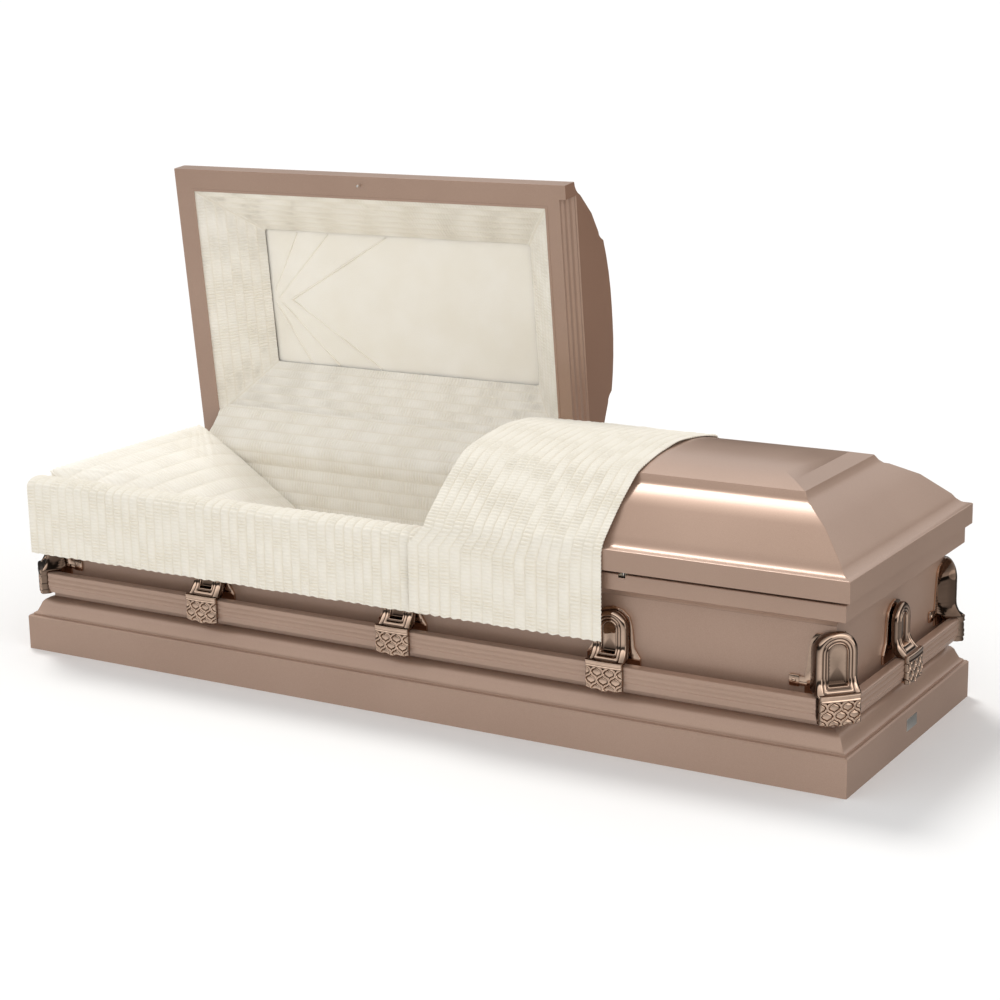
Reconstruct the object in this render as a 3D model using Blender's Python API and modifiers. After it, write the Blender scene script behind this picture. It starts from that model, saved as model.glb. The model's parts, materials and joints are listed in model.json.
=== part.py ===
"""Half-couch steel burial casket with a shirred crepe interior, at its real size.

Metres, +Z up. +X runs to the foot end, -Y to the front where the handles show first,
and the hinges are along the rear rim at +Y. The origin is the centre of the underside.
The head lid is modelled shut and then swung open on its hinge line. The foot lid is shut.
"""
import math

import bmesh
import bpy
from mathutils import Matrix

# Overall size of the steel case
BASE_LENGTH = 2.108
BASE_WIDTH = 0.706
STEEL = 0.0012

# Gap between pieces that touch, and how far a cut runs past what it cuts
GAP = 0.0003
CUT_OVER = 0.010

# Base moulding and wall
BASE_BAND_HEIGHT = 0.0835
BASE_EDGE_ROUND = 0.003
GROOVE_WIDTH = 0.009
GROOVE_HEIGHT = 0.004
BASE_COVE_WIDTH = 0.013
BASE_COVE_HEIGHT = 0.0175
OGEE_HEIGHT = 0.020
WALL_INSET = 0.047

# Upper band of the body and its rim flange
RIM_HEIGHT = 0.388
RIM_BAND_HEIGHT = 0.035
RIM_BAND_INSET = 0.014
RIM_COVE_HEIGHT = 0.020
RIM_EDGE_ROUND = 0.0012
RIM_FLANGE = 0.040

# Lids
LID_INSET = 0.002
LID_GAP = 0.008
FASCIA_HEIGHT = 0.045
FASCIA_EDGE_ROUND = 0.0015
CROWN_SHOULDER_INSET = 0.036
CROWN_SHOULDER_RISE = 0.0245
CROWN_SLOPE_INSET = 0.089
CROWN_SLOPE_RISE = 0.0735
CROWN_FACET_INSET = 0.140
CROWN_FACET_RISE = 0.102
CROWN_TOP_INSET = 0.165
CROWN_TOP_RISE = 0.124
CROWN_RISE = 0.148
RIDGE_HALF = 0.020
LID_FLANGE = 0.056
LID_SPLIT = 0.086
LID_SPLIT_GAP = 0.005
HEM_WIDTH = 0.006
HEM_DEPTH = 0.0012
OPEN_ANGLE = math.radians(84.0)

# Stepped end of the head lid
REBATE_DEPTH = 0.0175
REBATE_HEIGHT = 0.050
REBATE_SIDE = 0.034

# Hinges
HINGE_KNUCKLE_RADIUS = 0.0035
HINGE_STAND_OFF = 0.0045
HINGE_LENGTH = 0.080
HINGE_LEAF = 0.0022
HINGE_LEAF_HEIGHT = 0.026
HINGE_KNUCKLE = 0.027
HINGE_PLAY = 0.0005
HINGE_EDGE_DISTANCE = 0.250
HINGE_LEAF_DROP = 0.006
JOGGLE_HEIGHT = 0.011

# Rubber seal and locking pins
SEAL_WIDTH = 0.008
SEAL_HEIGHT = 0.0037
SEAL_INSET = 0.016
PIN_RADIUS = 0.003
PIN_LENGTH = 0.0125
PIN_EDGE = 0.009
PIN_NOTCH_WIDTH = 0.016
PIN_NOTCH_DEPTH = 0.007
PIN_CLEARANCE = 0.002

# Handle bars, square to the wall
BAR_INSET = 0.003
BAR_DEPTH = 0.020
BAR_BOTTOM = 0.147
BAR_HEIGHT = 0.050
BAR_CORNER_CUT = 0.066
BAR_STRIP = 0.0165
BAR_REEDS = 3
BAR_FLUTE = 0.0016
BAR_STRIP_LEAN = 0.007
BAR_TOP_LEAN = 0.004

# Cast arms that carry the bars
SIDE_ARM_PITCH = 0.520
SIDE_ARM_TOP = 0.307
CORNER_ARM_TOP = 0.326
ARM_HALF_WIDTH = 0.040
ARM_RIB_HALF_WIDTH = 0.032
ARM_PANEL_HALF_WIDTH = 0.016
ARM_EDGE_ROUND = 0.008
ARM_PANEL_DEPTH = 0.005
ARM_RIB_WIDTH = 0.005
ARM_GROOVE_WIDTH = 0.003
ARM_GROOVE_DEPTH = 0.002
ARM_PANEL_FOOT = 0.020
ARM_FLARE = 0.012
ARM_FLARE_START = 0.236
SIDE_ARM_NECK = 0.027
CORNER_ARM_NECK = 0.014
CORNER_ARM_HALF_WIDTH = 0.044
CORNER_ARM_BACK = 0.038
BLOCK_HALF_WIDTH = 0.043
BLOCK_THICKNESS = 0.0080
BLOCK_RISE = 0.0065
BLOCK_TIP = 0.007
BLOCK_COLUMNS = 8
BLOCK_ROWS = 4
BLOCK_STUD = 0.0022
CORNER_BLOCK_REACH = 0.032
CORNER_BLOCK_BACK = 0.002
STRAP_LENGTH = 0.045
STRAP_THICKNESS = 0.004
STRAP_REACH = 0.012
STRAP_ROOT = 0.030
STRAP_SET_BACK = 0.005

# Lugs between the arms and the wall
LUG_THICKNESS = 0.006
LUG_MARGIN = 0.003
LUG_FOOT_HALF_WIDTH = 0.062
LUG_FOOT_RISE = 0.020
LUG_WAIST_RISE = 0.042
LUG_WAIST_MARGIN = 0.008
LUG_BOTTOM = 0.185
CORNER_LUG_THICKNESS = 0.004
CORNER_LUG_LEG = 0.067
CORNER_LUG_EAR = 0.025
CORNER_LUG_EAR_HEIGHT = 0.019
CORNER_LUG_EAR_RISE = 0.018
CORNER_LUG_TOP_DROP = 0.006
CORNER_LUG_TAPER = 0.011
CORNER_LUG_SHOULDER = 0.020

# Blank plate on the foot end of the base
PLATE_LENGTH = 0.057
PLATE_HEIGHT = 0.026
PLATE_THICKNESS = 0.0008
PLATE_BOTTOM = 0.037

# Soft furnishing
LINING_SLOPE = 0.120
LINING_RISE = 0.112
LINING_THICKNESS = 0.012
LINING_PANEL_THICKNESS = 0.006
LINING_PANEL_LAP = 0.005
LINING_EDGE = 0.001
WALL_LINING_DROP = 0.014
WALL_LINING_TOP = 0.012
WALL_LINING_FOOT = 0.055
WALL_LINING_LAP = 0.030
MATTRESS_HEIGHT = 0.160
MATTRESS_ROUND = 0.018
MATTRESS_CLEARANCE = 0.003
PILLOW_LENGTH = 0.430
PILLOW_THICKNESS = 0.110
PILLOW_TILT = math.radians(30.0)
PILLOW_SIDE_CLEARANCE = 0.012
PILLOW_REST = 0.010
PILLOW_HEAD_CLEARANCE = 0.006
GUSSET_THICKNESS = 0.002
GUSSET_WIDTH = 0.046
APRON_DROP = 0.147
APRON_STAND_OFF = 0.004
APRON_THICKNESS = 0.0045
APRON_ROLL = 0.032
APRON_HEAD_INSET = 0.004
APRON_INSIDE = 0.020
OVERTHROW_THICKNESS = 0.004
OVERTHROW_CLEARANCE = 0.0022
OVERTHROW_DROP = 0.151
OVERTHROW_FOOT_EDGE = 0.516
OVERTHROW_REAR = 0.195

# Sizes that follow from the ones above
HALF_X = BASE_LENGTH / 2
HALF_Y = BASE_WIDTH / 2
BASE_TOP = BASE_BAND_HEIGHT + GROOVE_HEIGHT + BASE_COVE_HEIGHT + OGEE_HEIGHT
WALL_TOP = RIM_HEIGHT - RIM_BAND_HEIGHT - RIM_COVE_HEIGHT
WALL_X = HALF_X - WALL_INSET
WALL_Y = HALF_Y - WALL_INSET
BAND_X = HALF_X - RIM_BAND_INSET
BAND_Y = HALF_Y - RIM_BAND_INSET
MOUTH_X = BAND_X - RIM_FLANGE
MOUTH_Y = BAND_Y - RIM_FLANGE
LID_X = HALF_X - LID_INSET
LID_Y = HALF_Y - LID_INSET
LID_RIM = RIM_HEIGHT + LID_GAP
HEAD_LID_END = LID_SPLIT - LID_SPLIT_GAP / 2
FOOT_LID_START = LID_SPLIT + LID_SPLIT_GAP / 2
HINGE_Y = LID_Y + HINGE_STAND_OFF
HINGE_Z = RIM_HEIGHT + LID_GAP / 2
BAR_FACE = WALL_INSET - BAR_INSET
BAR_BACK = BAR_FACE - BAR_DEPTH
BAR_TOP = BAR_BOTTOM + BAR_HEIGHT
SIDE_BAR_HALF = HALF_X - BAR_INSET - BAR_CORNER_CUT
END_BAR_HALF = HALF_Y - BAR_INSET - BAR_CORNER_CUT
ARM_FOOT = BAR_TOP + 2 * GAP
BLOCK_FACE = BAR_FACE + GAP + BLOCK_THICKNESS
STRAP_BOTTOM = BAR_BOTTOM - GAP - STRAP_THICKNESS
BLOCK_BOTTOM = STRAP_BOTTOM + BLOCK_STUD
PIN_Y = BAND_Y - PIN_EDGE
HEAD_PIN_X = (HEAD_LID_END - LID_X) / 2
FOOT_PIN_X = (FOOT_LID_START + LID_X) / 2 - 0.016

CORNERS = ((-1, -1), (1, -1), (1, 1), (-1, 1))


def empty_scene():
    """Start from a scene with nothing in it."""
    for item in list(bpy.data.objects):
        bpy.data.objects.remove(item, do_unlink=True)


def new_collection(name):
    """Add a collection to the scene."""
    group = bpy.data.collections.new(name)
    bpy.context.scene.collection.children.link(group)
    return group


def new_material(name, colour, roughness, metallic):
    """A Principled material with one colour."""
    material = bpy.data.materials.new(name)
    material.use_nodes = True
    shader = material.node_tree.nodes["Principled BSDF"]
    shader.inputs["Base Color"].default_value = (*colour, 1.0)
    shader.inputs["Roughness"].default_value = roughness
    shader.inputs["Metallic"].default_value = metallic
    return material


def link_object(name, mesh, group, material=None, parent=None):
    """Put a mesh in a collection as a named object."""
    item = bpy.data.objects.new(name, mesh)
    group.objects.link(item)
    if material:
        mesh.materials.clear()
        mesh.materials.append(material)
    if parent:
        item.parent = parent
        item.matrix_parent_inverse = Matrix.Translation((0.0, -HINGE_Y, -HINGE_Z))
    return item


def finish_mesh(bm, name):
    """Turn a bmesh into a mesh with its faces pointing out."""
    bmesh.ops.remove_doubles(bm, verts=bm.verts, dist=1e-6)
    bmesh.ops.recalc_face_normals(bm, faces=bm.faces)
    mesh = bpy.data.meshes.new(name)
    bm.to_mesh(mesh)
    bm.free()
    return mesh


def as_cutter(item):
    """Show a helper as wire only and keep it out of the model."""
    item.display_type = "WIRE"
    item.hide_render = True
    return item


def combine(item, other, operation):
    """Add an exact Boolean of another object to this one."""
    step = item.modifiers.new(other.name, "BOOLEAN")
    step.solver = "EXACT"
    step.operation = operation
    step.object = other
    as_cutter(other)


def baked_mesh(item, name):
    """Mesh of an object with its modifiers, as a new mesh that copies can share."""
    bpy.context.view_layer.update()
    graph = bpy.context.evaluated_depsgraph_get()
    mesh = bpy.data.meshes.new_from_object(item.evaluated_get(graph))
    mesh.name = name
    return mesh


def box_mesh(name, low, high):
    """Box between two corners."""
    bm = bmesh.new()
    bmesh.ops.create_cube(bm, size=1.0)
    for vert in bm.verts:
        for axis in range(3):
            vert.co[axis] = low[axis] if vert.co[axis] < 0 else high[axis]
    return finish_mesh(bm, name)


def cylinder_mesh(name, radius, length, sides, matrix):
    """Round bar along its own Z, then placed by a matrix."""
    bm = bmesh.new()
    bmesh.ops.create_cone(
        bm, cap_ends=True, segments=sides, radius1=radius, radius2=radius, depth=length, matrix=matrix
    )
    return finish_mesh(bm, name)


def prism_mesh(name, outline, low, high, axis):
    """Flat outline carried along one axis. The outline's two values fill the other two axes in order."""
    bm = bmesh.new()
    ends = []
    for level in (low, high):
        ring = []
        for first, second in outline:
            point = [first, second]
            point.insert(axis, level)
            ring.append(bm.verts.new(point))
        ends.append(ring)
    bridge_rings(bm, ends[0], ends[1])
    bm.faces.new(ends[0])
    bm.faces.new(ends[1])
    return finish_mesh(bm, name)


def bridge_rings(bm, low, high):
    """Quads between two closed rings with as many points."""
    count = len(low)
    for i in range(count):
        j = (i + 1) % count
        bm.faces.new((low[i], low[j], high[j], high[i]))


def rectangle_ring(bm, rect, inset, z):
    """Four corners of a rectangle, drawn in by the same inset on every side."""
    x_low, x_high, y_low, y_high = rect
    xs = {-1: x_low + inset, 1: x_high - inset}
    ys = {-1: y_low + inset, 1: y_high - inset}
    return [bm.verts.new((xs[sx], ys[sy], z)) for sx, sy in CORNERS]


def mitred_block(name, profile, rect, keep=None):
    """Solid with mitred corners: the profile lists (inset, height) from the bottom up.

    keep gives the lowest and highest X to be kept, and the solid is cut square there.
    """
    bm = bmesh.new()
    rings = [rectangle_ring(bm, rect, inset, z) for inset, z in profile]
    for low, high in zip(rings, rings[1:]):
        bridge_rings(bm, low, high)
    bm.faces.new(rings[0])
    bm.faces.new(rings[-1])
    for level, direction in zip(keep or (), (-1, 1)):
        if level is None:
            continue
        cut = bmesh.ops.bisect_plane(
            bm,
            geom=bm.verts[:] + bm.edges[:] + bm.faces[:],
            plane_co=(level, 0, 0),
            plane_no=(direction, 0, 0),
            clear_outer=True,
        )
        edges = [piece for piece in cut["geom_cut"] if isinstance(piece, bmesh.types.BMEdge)]
        bmesh.ops.contextual_create(bm, geom=edges)
    return finish_mesh(bm, name)


def mitred_frame(name, section, rect):
    """Ring with mitred corners: a closed section of (inset, height) points led round a rectangle."""
    bm = bmesh.new()
    rings = [rectangle_ring(bm, rect, inset, z) for inset, z in section]
    for low, high in zip(rings, rings[1:] + rings[:1]):
        bridge_rings(bm, low, high)
    return finish_mesh(bm, name)


def mitred_strip(name, section, rect, side):
    """One side of such a ring, from mitre to mitre. Sides count from the front round to the head end."""
    bm = bmesh.new()
    rings = [rectangle_ring(bm, rect, inset, z) for inset, z in section]
    first = [ring[side] for ring in rings]
    last = [ring[(side + 1) % 4] for ring in rings]
    forward = (last[0].co - first[0].co).normalized()
    for vert in first:
        vert.co += forward * GAP
    for vert in last:
        vert.co -= forward * GAP
    bridge_rings(bm, first, last)
    bm.faces.new(first)
    bm.faces.new(last)
    bmesh.ops.delete(bm, geom=[vert for vert in bm.verts if not vert.link_faces], context="VERTS")
    return finish_mesh(bm, name)


def sheet_frame(name, profile, rect):
    """Sheet-steel ring with mitred corners, whose outside follows the profile."""
    return mitred_frame(name, profile + inward(profile, STEEL)[::-1], rect)


def inward(profile, distance):
    """The same profile moved inward by a wall thickness, square to each face."""
    normals = []
    for (s0, z0), (s1, z1) in zip(profile, profile[1:]):
        length = math.hypot(s1 - s0, z1 - z0)
        normals.append(((z1 - z0) / length, -(s1 - s0) / length))
    moved = []
    for i, (s, z) in enumerate(profile):
        before = normals[max(i - 1, 0)]
        after = normals[min(i, len(normals) - 1)]
        mean = (before[0] + after[0], before[1] + after[1])
        size = mean[0] * after[0] + mean[1] * after[1]
        reach = distance / max(size, 0.5)
        moved.append((s + mean[0] * reach, z + mean[1] * reach))
    return moved


def hollow_curve(start, end, degrees, steps):
    """Points after start on a hollow curve that sets out level and ends steep."""
    turn = math.radians(degrees)
    points = []
    for i in range(1, steps + 1):
        angle = turn * i / steps
        across = math.sin(angle) / math.sin(turn)
        up = (1 - math.cos(angle)) / (1 - math.cos(turn))
        points.append((start[0] + (end[0] - start[0]) * across, start[1] + (end[1] - start[1]) * up))
    return points


def round_curve(start, end, degrees, steps):
    """Points after start on a round curve that sets out steep and ends level."""
    turn = math.radians(degrees)
    points = []
    for i in range(1, steps + 1):
        angle = turn * (steps - i) / steps
        across = 1 - math.sin(angle) / math.sin(turn)
        up = 1 - (1 - math.cos(angle)) / (1 - math.cos(turn))
        points.append((start[0] + (end[0] - start[0]) * across, start[1] + (end[1] - start[1]) * up))
    return points


def base_profile():
    """Outside of the base from the underside up: band, groove, cove and ogee to the foot of the wall."""
    groove = (GROOVE_WIDTH, BASE_BAND_HEIGHT + GROOVE_HEIGHT)
    cove = (groove[0] + BASE_COVE_WIDTH, groove[1] + BASE_COVE_HEIGHT)
    points = [(0.0, 0.0), (0.0, BASE_BAND_HEIGHT - BASE_EDGE_ROUND), (BASE_EDGE_ROUND, BASE_BAND_HEIGHT)]
    points += [(GROOVE_WIDTH, BASE_BAND_HEIGHT), groove]
    points += hollow_curve(groove, cove, 50, 2)
    points += round_curve(cove, (WALL_INSET, BASE_TOP), 80, 4)
    return points


def rim_profile():
    """Outside of the rim from the top of the wall: cove, upper band and the flange turned inward."""
    band_bottom = RIM_HEIGHT - RIM_BAND_HEIGHT
    wall_top = (WALL_INSET, WALL_TOP + GAP)
    points = [wall_top]
    points += round_curve(wall_top, (RIM_BAND_INSET + RIM_EDGE_ROUND, band_bottom), 80, 4)
    points += [(RIM_BAND_INSET, band_bottom + RIM_EDGE_ROUND), (RIM_BAND_INSET, RIM_HEIGHT - RIM_EDGE_ROUND)]
    points += [(RIM_BAND_INSET + RIM_EDGE_ROUND, RIM_HEIGHT), (RIM_BAND_INSET + RIM_FLANGE, RIM_HEIGHT)]
    return points


def lid_profile():
    """Outside of a lid from its rim up: fascia, small cove, slope, facet, rise and near-flat top."""
    fascia = LID_RIM + FASCIA_HEIGHT
    edge = (FASCIA_EDGE_ROUND, fascia)
    shoulder = (CROWN_SHOULDER_INSET, fascia + CROWN_SHOULDER_RISE)
    slope = (CROWN_SLOPE_INSET, fascia + CROWN_SLOPE_RISE)
    facet = (CROWN_FACET_INSET, fascia + CROWN_FACET_RISE)
    top = (CROWN_TOP_INSET, fascia + CROWN_TOP_RISE)
    ridge = (LID_Y - RIDGE_HALF, fascia + CROWN_RISE)
    points = [(0.0, LID_RIM), (0.0, fascia - FASCIA_EDGE_ROUND), edge]
    points += hollow_curve(edge, shoulder, 50, 4)
    points += [slope, facet]
    points += hollow_curve(facet, top, 30, 3)
    points += round_curve(top, ridge, 20, 4)
    return points


def lid_height_at(y):
    """Height of the crown's outside at a distance from the centre line."""
    inset = LID_Y - abs(y)
    profile = lid_profile()
    for (s0, z0), (s1, z1) in zip(profile, profile[1:]):
        if s0 <= inset <= s1 and s1 > s0:
            return z0 + (z1 - z0) * (inset - s0) / (s1 - s0)
    return profile[-1][1]


def build_case(group, cutters, material):
    """Steel case in the three pressings it is welded from: moulded base pan, walls and rim."""
    rect = (-HALF_X, HALF_X, -HALF_Y, HALF_Y)
    profile = base_profile()
    base = link_object("casket_base", mitred_block("casket_base", profile, rect), group, material)
    hollow = inward(profile, STEEL)
    hollow[0] = (STEEL, STEEL)
    hollow.append((hollow[-1][0], BASE_TOP + CUT_OVER))
    inside = link_object("base_hollow", mitred_block("base_hollow", hollow, rect), cutters)
    combine(base, inside, "DIFFERENCE")
    wall = [(WALL_INSET, BASE_TOP + GAP), (WALL_INSET, WALL_TOP)]
    link_object("casket_walls", sheet_frame("casket_walls", wall, rect), group, material)
    rim = link_object("casket_rim", sheet_frame("casket_rim", rim_profile(), rect), group, material)
    for label, x in (("head", HEAD_PIN_X), ("foot", FOOT_PIN_X)):
        low = (x - PIN_NOTCH_WIDTH / 2, -BAND_Y - CUT_OVER, RIM_HEIGHT - PIN_NOTCH_DEPTH)
        high = (x + PIN_NOTCH_WIDTH / 2, -PIN_Y + PIN_RADIUS + PIN_CLEARANCE, RIM_HEIGHT + CUT_OVER)
        notch = link_object(f"{label}_pin_notch", box_mesh(f"{label}_pin_notch", low, high), cutters)
        combine(rim, notch, "DIFFERENCE")


def build_seal(group, material):
    """Rubber seal that lies on the rim flange."""
    low = RIM_HEIGHT + GAP
    section = ((0, low), (0, low + SEAL_HEIGHT), (SEAL_WIDTH, low + SEAL_HEIGHT), (SEAL_WIDTH, low))
    x, y = BAND_X - SEAL_INSET, BAND_Y - SEAL_INSET
    return link_object("rim_seal", mitred_frame("rim_seal", section, (-x, x, -y, y)), group, material)


def rebate_outline():
    """Steps that are cut from the end of the head lid, as (x, z)."""
    end = HEAD_LID_END
    rim = LID_RIM
    depth = REBATE_DEPTH
    height = REBATE_HEIGHT
    return (
        (end + CUT_OVER, rim - CUT_OVER),
        (end - depth, rim - CUT_OVER),
        (end - depth, rim + height * 0.16),
        (end - depth * 0.74, rim + height * 0.24),
        (end - depth * 0.74, rim + height * 0.46),
        (end - depth * 0.46, rim + height * 0.54),
        (end - depth * 0.46, rim + height * 0.78),
        (end - depth * 0.14, rim + height * 0.86),
        (end - depth * 0.14, rim + height * 0.96),
        (end, rim + height),
        (end + CUT_OVER, rim + height),
    )


def build_lid(name, group, cutters, material, parent, x_low, x_high):
    """Sheet-steel lid: crown, fascia, turned-in flange and a closed square end at the split."""
    at_head = x_low <= -LID_X
    rect = (-LID_X, LID_X, -LID_Y, LID_Y)
    profile = lid_profile()
    keep = (None, x_high) if at_head else (x_low, None)
    lid = link_object(name, mitred_block(name, profile, rect, keep), group, material, parent)
    hollow = inward(profile, STEEL)
    hollow[0] = (STEEL, LID_RIM + STEEL)
    inner_keep = (None, x_high - STEEL) if at_head else (x_low + STEEL, None)
    hollow_mesh = mitred_block(f"{name}_hollow", hollow, rect, inner_keep)
    inside = link_object(f"{name}_hollow", hollow_mesh, cutters, None, parent)
    if at_head:
        low = (x_high - REBATE_DEPTH - STEEL, -LID_Y, LID_RIM - CUT_OVER)
        high = (x_high + CUT_OVER, LID_Y, LID_RIM + REBATE_HEIGHT + STEEL)
        guard = link_object(f"{name}_guard", box_mesh(f"{name}_guard", low, high), cutters, None, parent)
        combine(inside, guard, "DIFFERENCE")
        side = LID_Y - REBATE_SIDE
        steps_mesh = prism_mesh(f"{name}_rebate", rebate_outline(), -side, side, 1)
        steps = link_object(f"{name}_rebate", steps_mesh, cutters, None, parent)
        combine(lid, steps, "DIFFERENCE")
    mouth = lid_mouth(x_low, x_high)
    hem_section = (
        (-HEM_WIDTH, LID_RIM - HEM_DEPTH),
        (CUT_OVER, LID_RIM - HEM_DEPTH),
        (CUT_OVER, LID_RIM + STEEL / 2),
        (-HEM_WIDTH, LID_RIM + STEEL / 2),
    )
    hem = link_object(f"{name}_hem", mitred_frame(f"{name}_hem", hem_section, mouth), cutters, None, parent)
    combine(lid, hem, "UNION")
    combine(lid, inside, "DIFFERENCE")
    mouth_low = (mouth[0], mouth[2], LID_RIM - CUT_OVER)
    mouth_high = (mouth[1], mouth[3], LID_RIM + CUT_OVER)
    opening_mesh = box_mesh(f"{name}_mouth", mouth_low, mouth_high)
    opening = link_object(f"{name}_mouth", opening_mesh, cutters, None, parent)
    combine(lid, opening, "DIFFERENCE")
    return lid


def lid_mouth(x_low, x_high):
    """Rectangle inside a lid's flange: lowest and highest X, then lowest and highest Y."""
    return (x_low + LID_FLANGE, x_high - LID_FLANGE, -LID_Y + LID_FLANGE, LID_Y - LID_FLANGE)


def build_lid_lining(label, group, crepe, satin, parent, x_low, x_high):
    """Sloping crepe border inside a lid, and the flat panel behind it."""
    mouth = lid_mouth(x_low, x_high)
    base = LID_RIM + STEEL + LINING_EDGE
    section = (
        (LINING_EDGE, base),
        (LINING_EDGE, base + LINING_THICKNESS),
        (LINING_SLOPE, base + LINING_RISE + LINING_THICKNESS),
        (LINING_SLOPE, base + LINING_RISE),
    )
    if label == "head":
        name = "head_lid_border"
        link_object(name, mitred_frame(name, section, mouth), group, crepe, parent)
    else:
        for side, place in enumerate(("front", "end", "rear", "split")):
            name = f"foot_lid_{place}_border"
            link_object(name, mitred_strip(name, section, mouth, side), group, crepe, parent)
    panel_inset = LINING_SLOPE - LINING_PANEL_LAP
    low_z = base + LINING_RISE + LINING_THICKNESS + GAP
    low = (mouth[0] + panel_inset, mouth[2] + panel_inset, low_z)
    high = (mouth[1] - panel_inset, mouth[3] - panel_inset, low_z + LINING_PANEL_THICKNESS)
    panel_name = f"{label}_lid_lining_panel"
    link_object(panel_name, box_mesh(panel_name, low, high), group, satin, parent)


def build_hinge(label, group, cutters, material, lid_parent, x):
    """Butt hinge on the rear rim: a body leaf with two knuckles and a lid leaf with one."""
    turn = Matrix.Translation((x, HINGE_Y, HINGE_Z)) @ Matrix.Rotation(math.pi / 2, 4, "Y")
    half = HINGE_LENGTH / 2
    inner = HINGE_KNUCKLE / 2
    face = BAND_Y + GAP
    low = (x - half, face, RIM_HEIGHT - HINGE_LEAF_HEIGHT)
    high = (x + half, face + HINGE_LEAF, RIM_HEIGHT - HINGE_LEAF_DROP)
    name = f"{label}_hinge_body_leaf"
    leaf = link_object(name, box_mesh(name, low, high), group, material)
    outer_length = half - inner - HINGE_PLAY
    for side in (-1, 1):
        middle = side * (inner + HINGE_PLAY + outer_length / 2)
        top = HINGE_Z - HINGE_KNUCKLE_RADIUS / 2
        low = (x + middle - outer_length / 2, face, top - JOGGLE_HEIGHT)
        high = (x + middle + outer_length / 2, HINGE_Y + HINGE_PLAY, top)
        arm_name = f"{label}_hinge_joggle_{side}"
        joggle = link_object(arm_name, box_mesh(arm_name, low, high), cutters)
        combine(leaf, joggle, "UNION")
        place = Matrix.Translation((middle, 0, 0)) @ turn
        knuckle_name = f"{label}_hinge_knuckle_{side}"
        tube = cylinder_mesh(knuckle_name, HINGE_KNUCKLE_RADIUS, outer_length, 10, place)
        combine(leaf, link_object(knuckle_name, tube, cutters), "UNION")
    name = f"{label}_hinge_lid_leaf"
    low = (x - inner, LID_Y + GAP, HINGE_Z)
    high = (x + inner, LID_Y + GAP + HINGE_LEAF, LID_RIM + HINGE_LEAF_HEIGHT)
    lid_leaf = link_object(name, box_mesh(name, low, high), group, material, lid_parent)
    knuckle_name = f"{label}_hinge_lid_knuckle"
    tube = cylinder_mesh(knuckle_name, HINGE_KNUCKLE_RADIUS, HINGE_KNUCKLE, 10, turn)
    combine(lid_leaf, link_object(knuckle_name, tube, cutters, None, lid_parent), "UNION")


def build_pin(name, group, material, parent, x):
    """Locking pin under a lid's front flange."""
    middle = LID_RIM - GAP - PIN_LENGTH / 2
    place = Matrix.Translation((x, -PIN_Y, middle))
    link_object(name, cylinder_mesh(name, PIN_RADIUS, PIN_LENGTH, 10, place), group, material, parent)


def bar_outline():
    """Section of a bar as (y, z), with the wall at y = 0 and outward at -y: strip below, reeds above."""
    reed_low = BAR_BOTTOM + BAR_STRIP
    reed = (BAR_TOP - reed_low) / BAR_REEDS
    points = [(-BAR_BACK, BAR_BOTTOM), (-BAR_FACE + BAR_STRIP_LEAN, BAR_BOTTOM)]
    points += [(-BAR_FACE, reed_low - BAR_FLUTE)]
    for i in range(BAR_REEDS):
        foot = reed_low + reed * i
        points.append((-BAR_FACE + BAR_FLUTE, foot))
        points.append((-BAR_FACE, foot + reed * 0.25))
        points.append((-BAR_FACE, foot + reed * 0.75))
    points += [(-BAR_FACE + BAR_TOP_LEAN, BAR_TOP), (-BAR_BACK, BAR_TOP)]
    return points


def build_bars(group, material):
    """Four fluted bars, one along each wall."""
    for name, half, at, turn in (
        ("front_bar", SIDE_BAR_HALF, (0, -WALL_Y), 0),
        ("foot_end_bar", END_BAR_HALF, (WALL_X, 0), 90),
        ("rear_bar", SIDE_BAR_HALF, (0, WALL_Y), 180),
        ("head_end_bar", END_BAR_HALF, (-WALL_X, 0), 270),
    ):
        bar = link_object(name, prism_mesh(name, bar_outline(), -half, half, 0), group, material)
        bar.location = (at[0], at[1], 0)
        bar.rotation_euler = (0, 0, math.radians(turn))


def shield_outline(half_width, top, foot, flare):
    """Arch-topped shield with a flared foot, as (x, z) points from the left foot over the top."""
    rise = ARM_FLARE_START - ARM_FOOT
    arch = half_width * 0.85
    left = [(-half_width - flare, foot), (-half_width - flare * 0.35, foot + rise * 0.4)]
    left += [(-half_width, foot + rise), (-half_width, top - arch)]
    arch_points = []
    for i in range(1, 6):
        angle = math.radians(180 - 30 * i)
        arch_points.append((half_width * math.cos(angle), top - arch + arch * math.sin(angle)))
    right = [(-x, z) for x, z in reversed(left)]
    return left + arch_points + right


def face_reach(z, neck, block):
    """How far out the arm's face is at a height: upright, then flaring to the block."""
    share = (ARM_FLARE_START - z) / (ARM_FLARE_START - ARM_FOOT)
    share = min(max(share, 0.0), 1.0)
    return neck + (block - neck) * share ** 2


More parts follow.
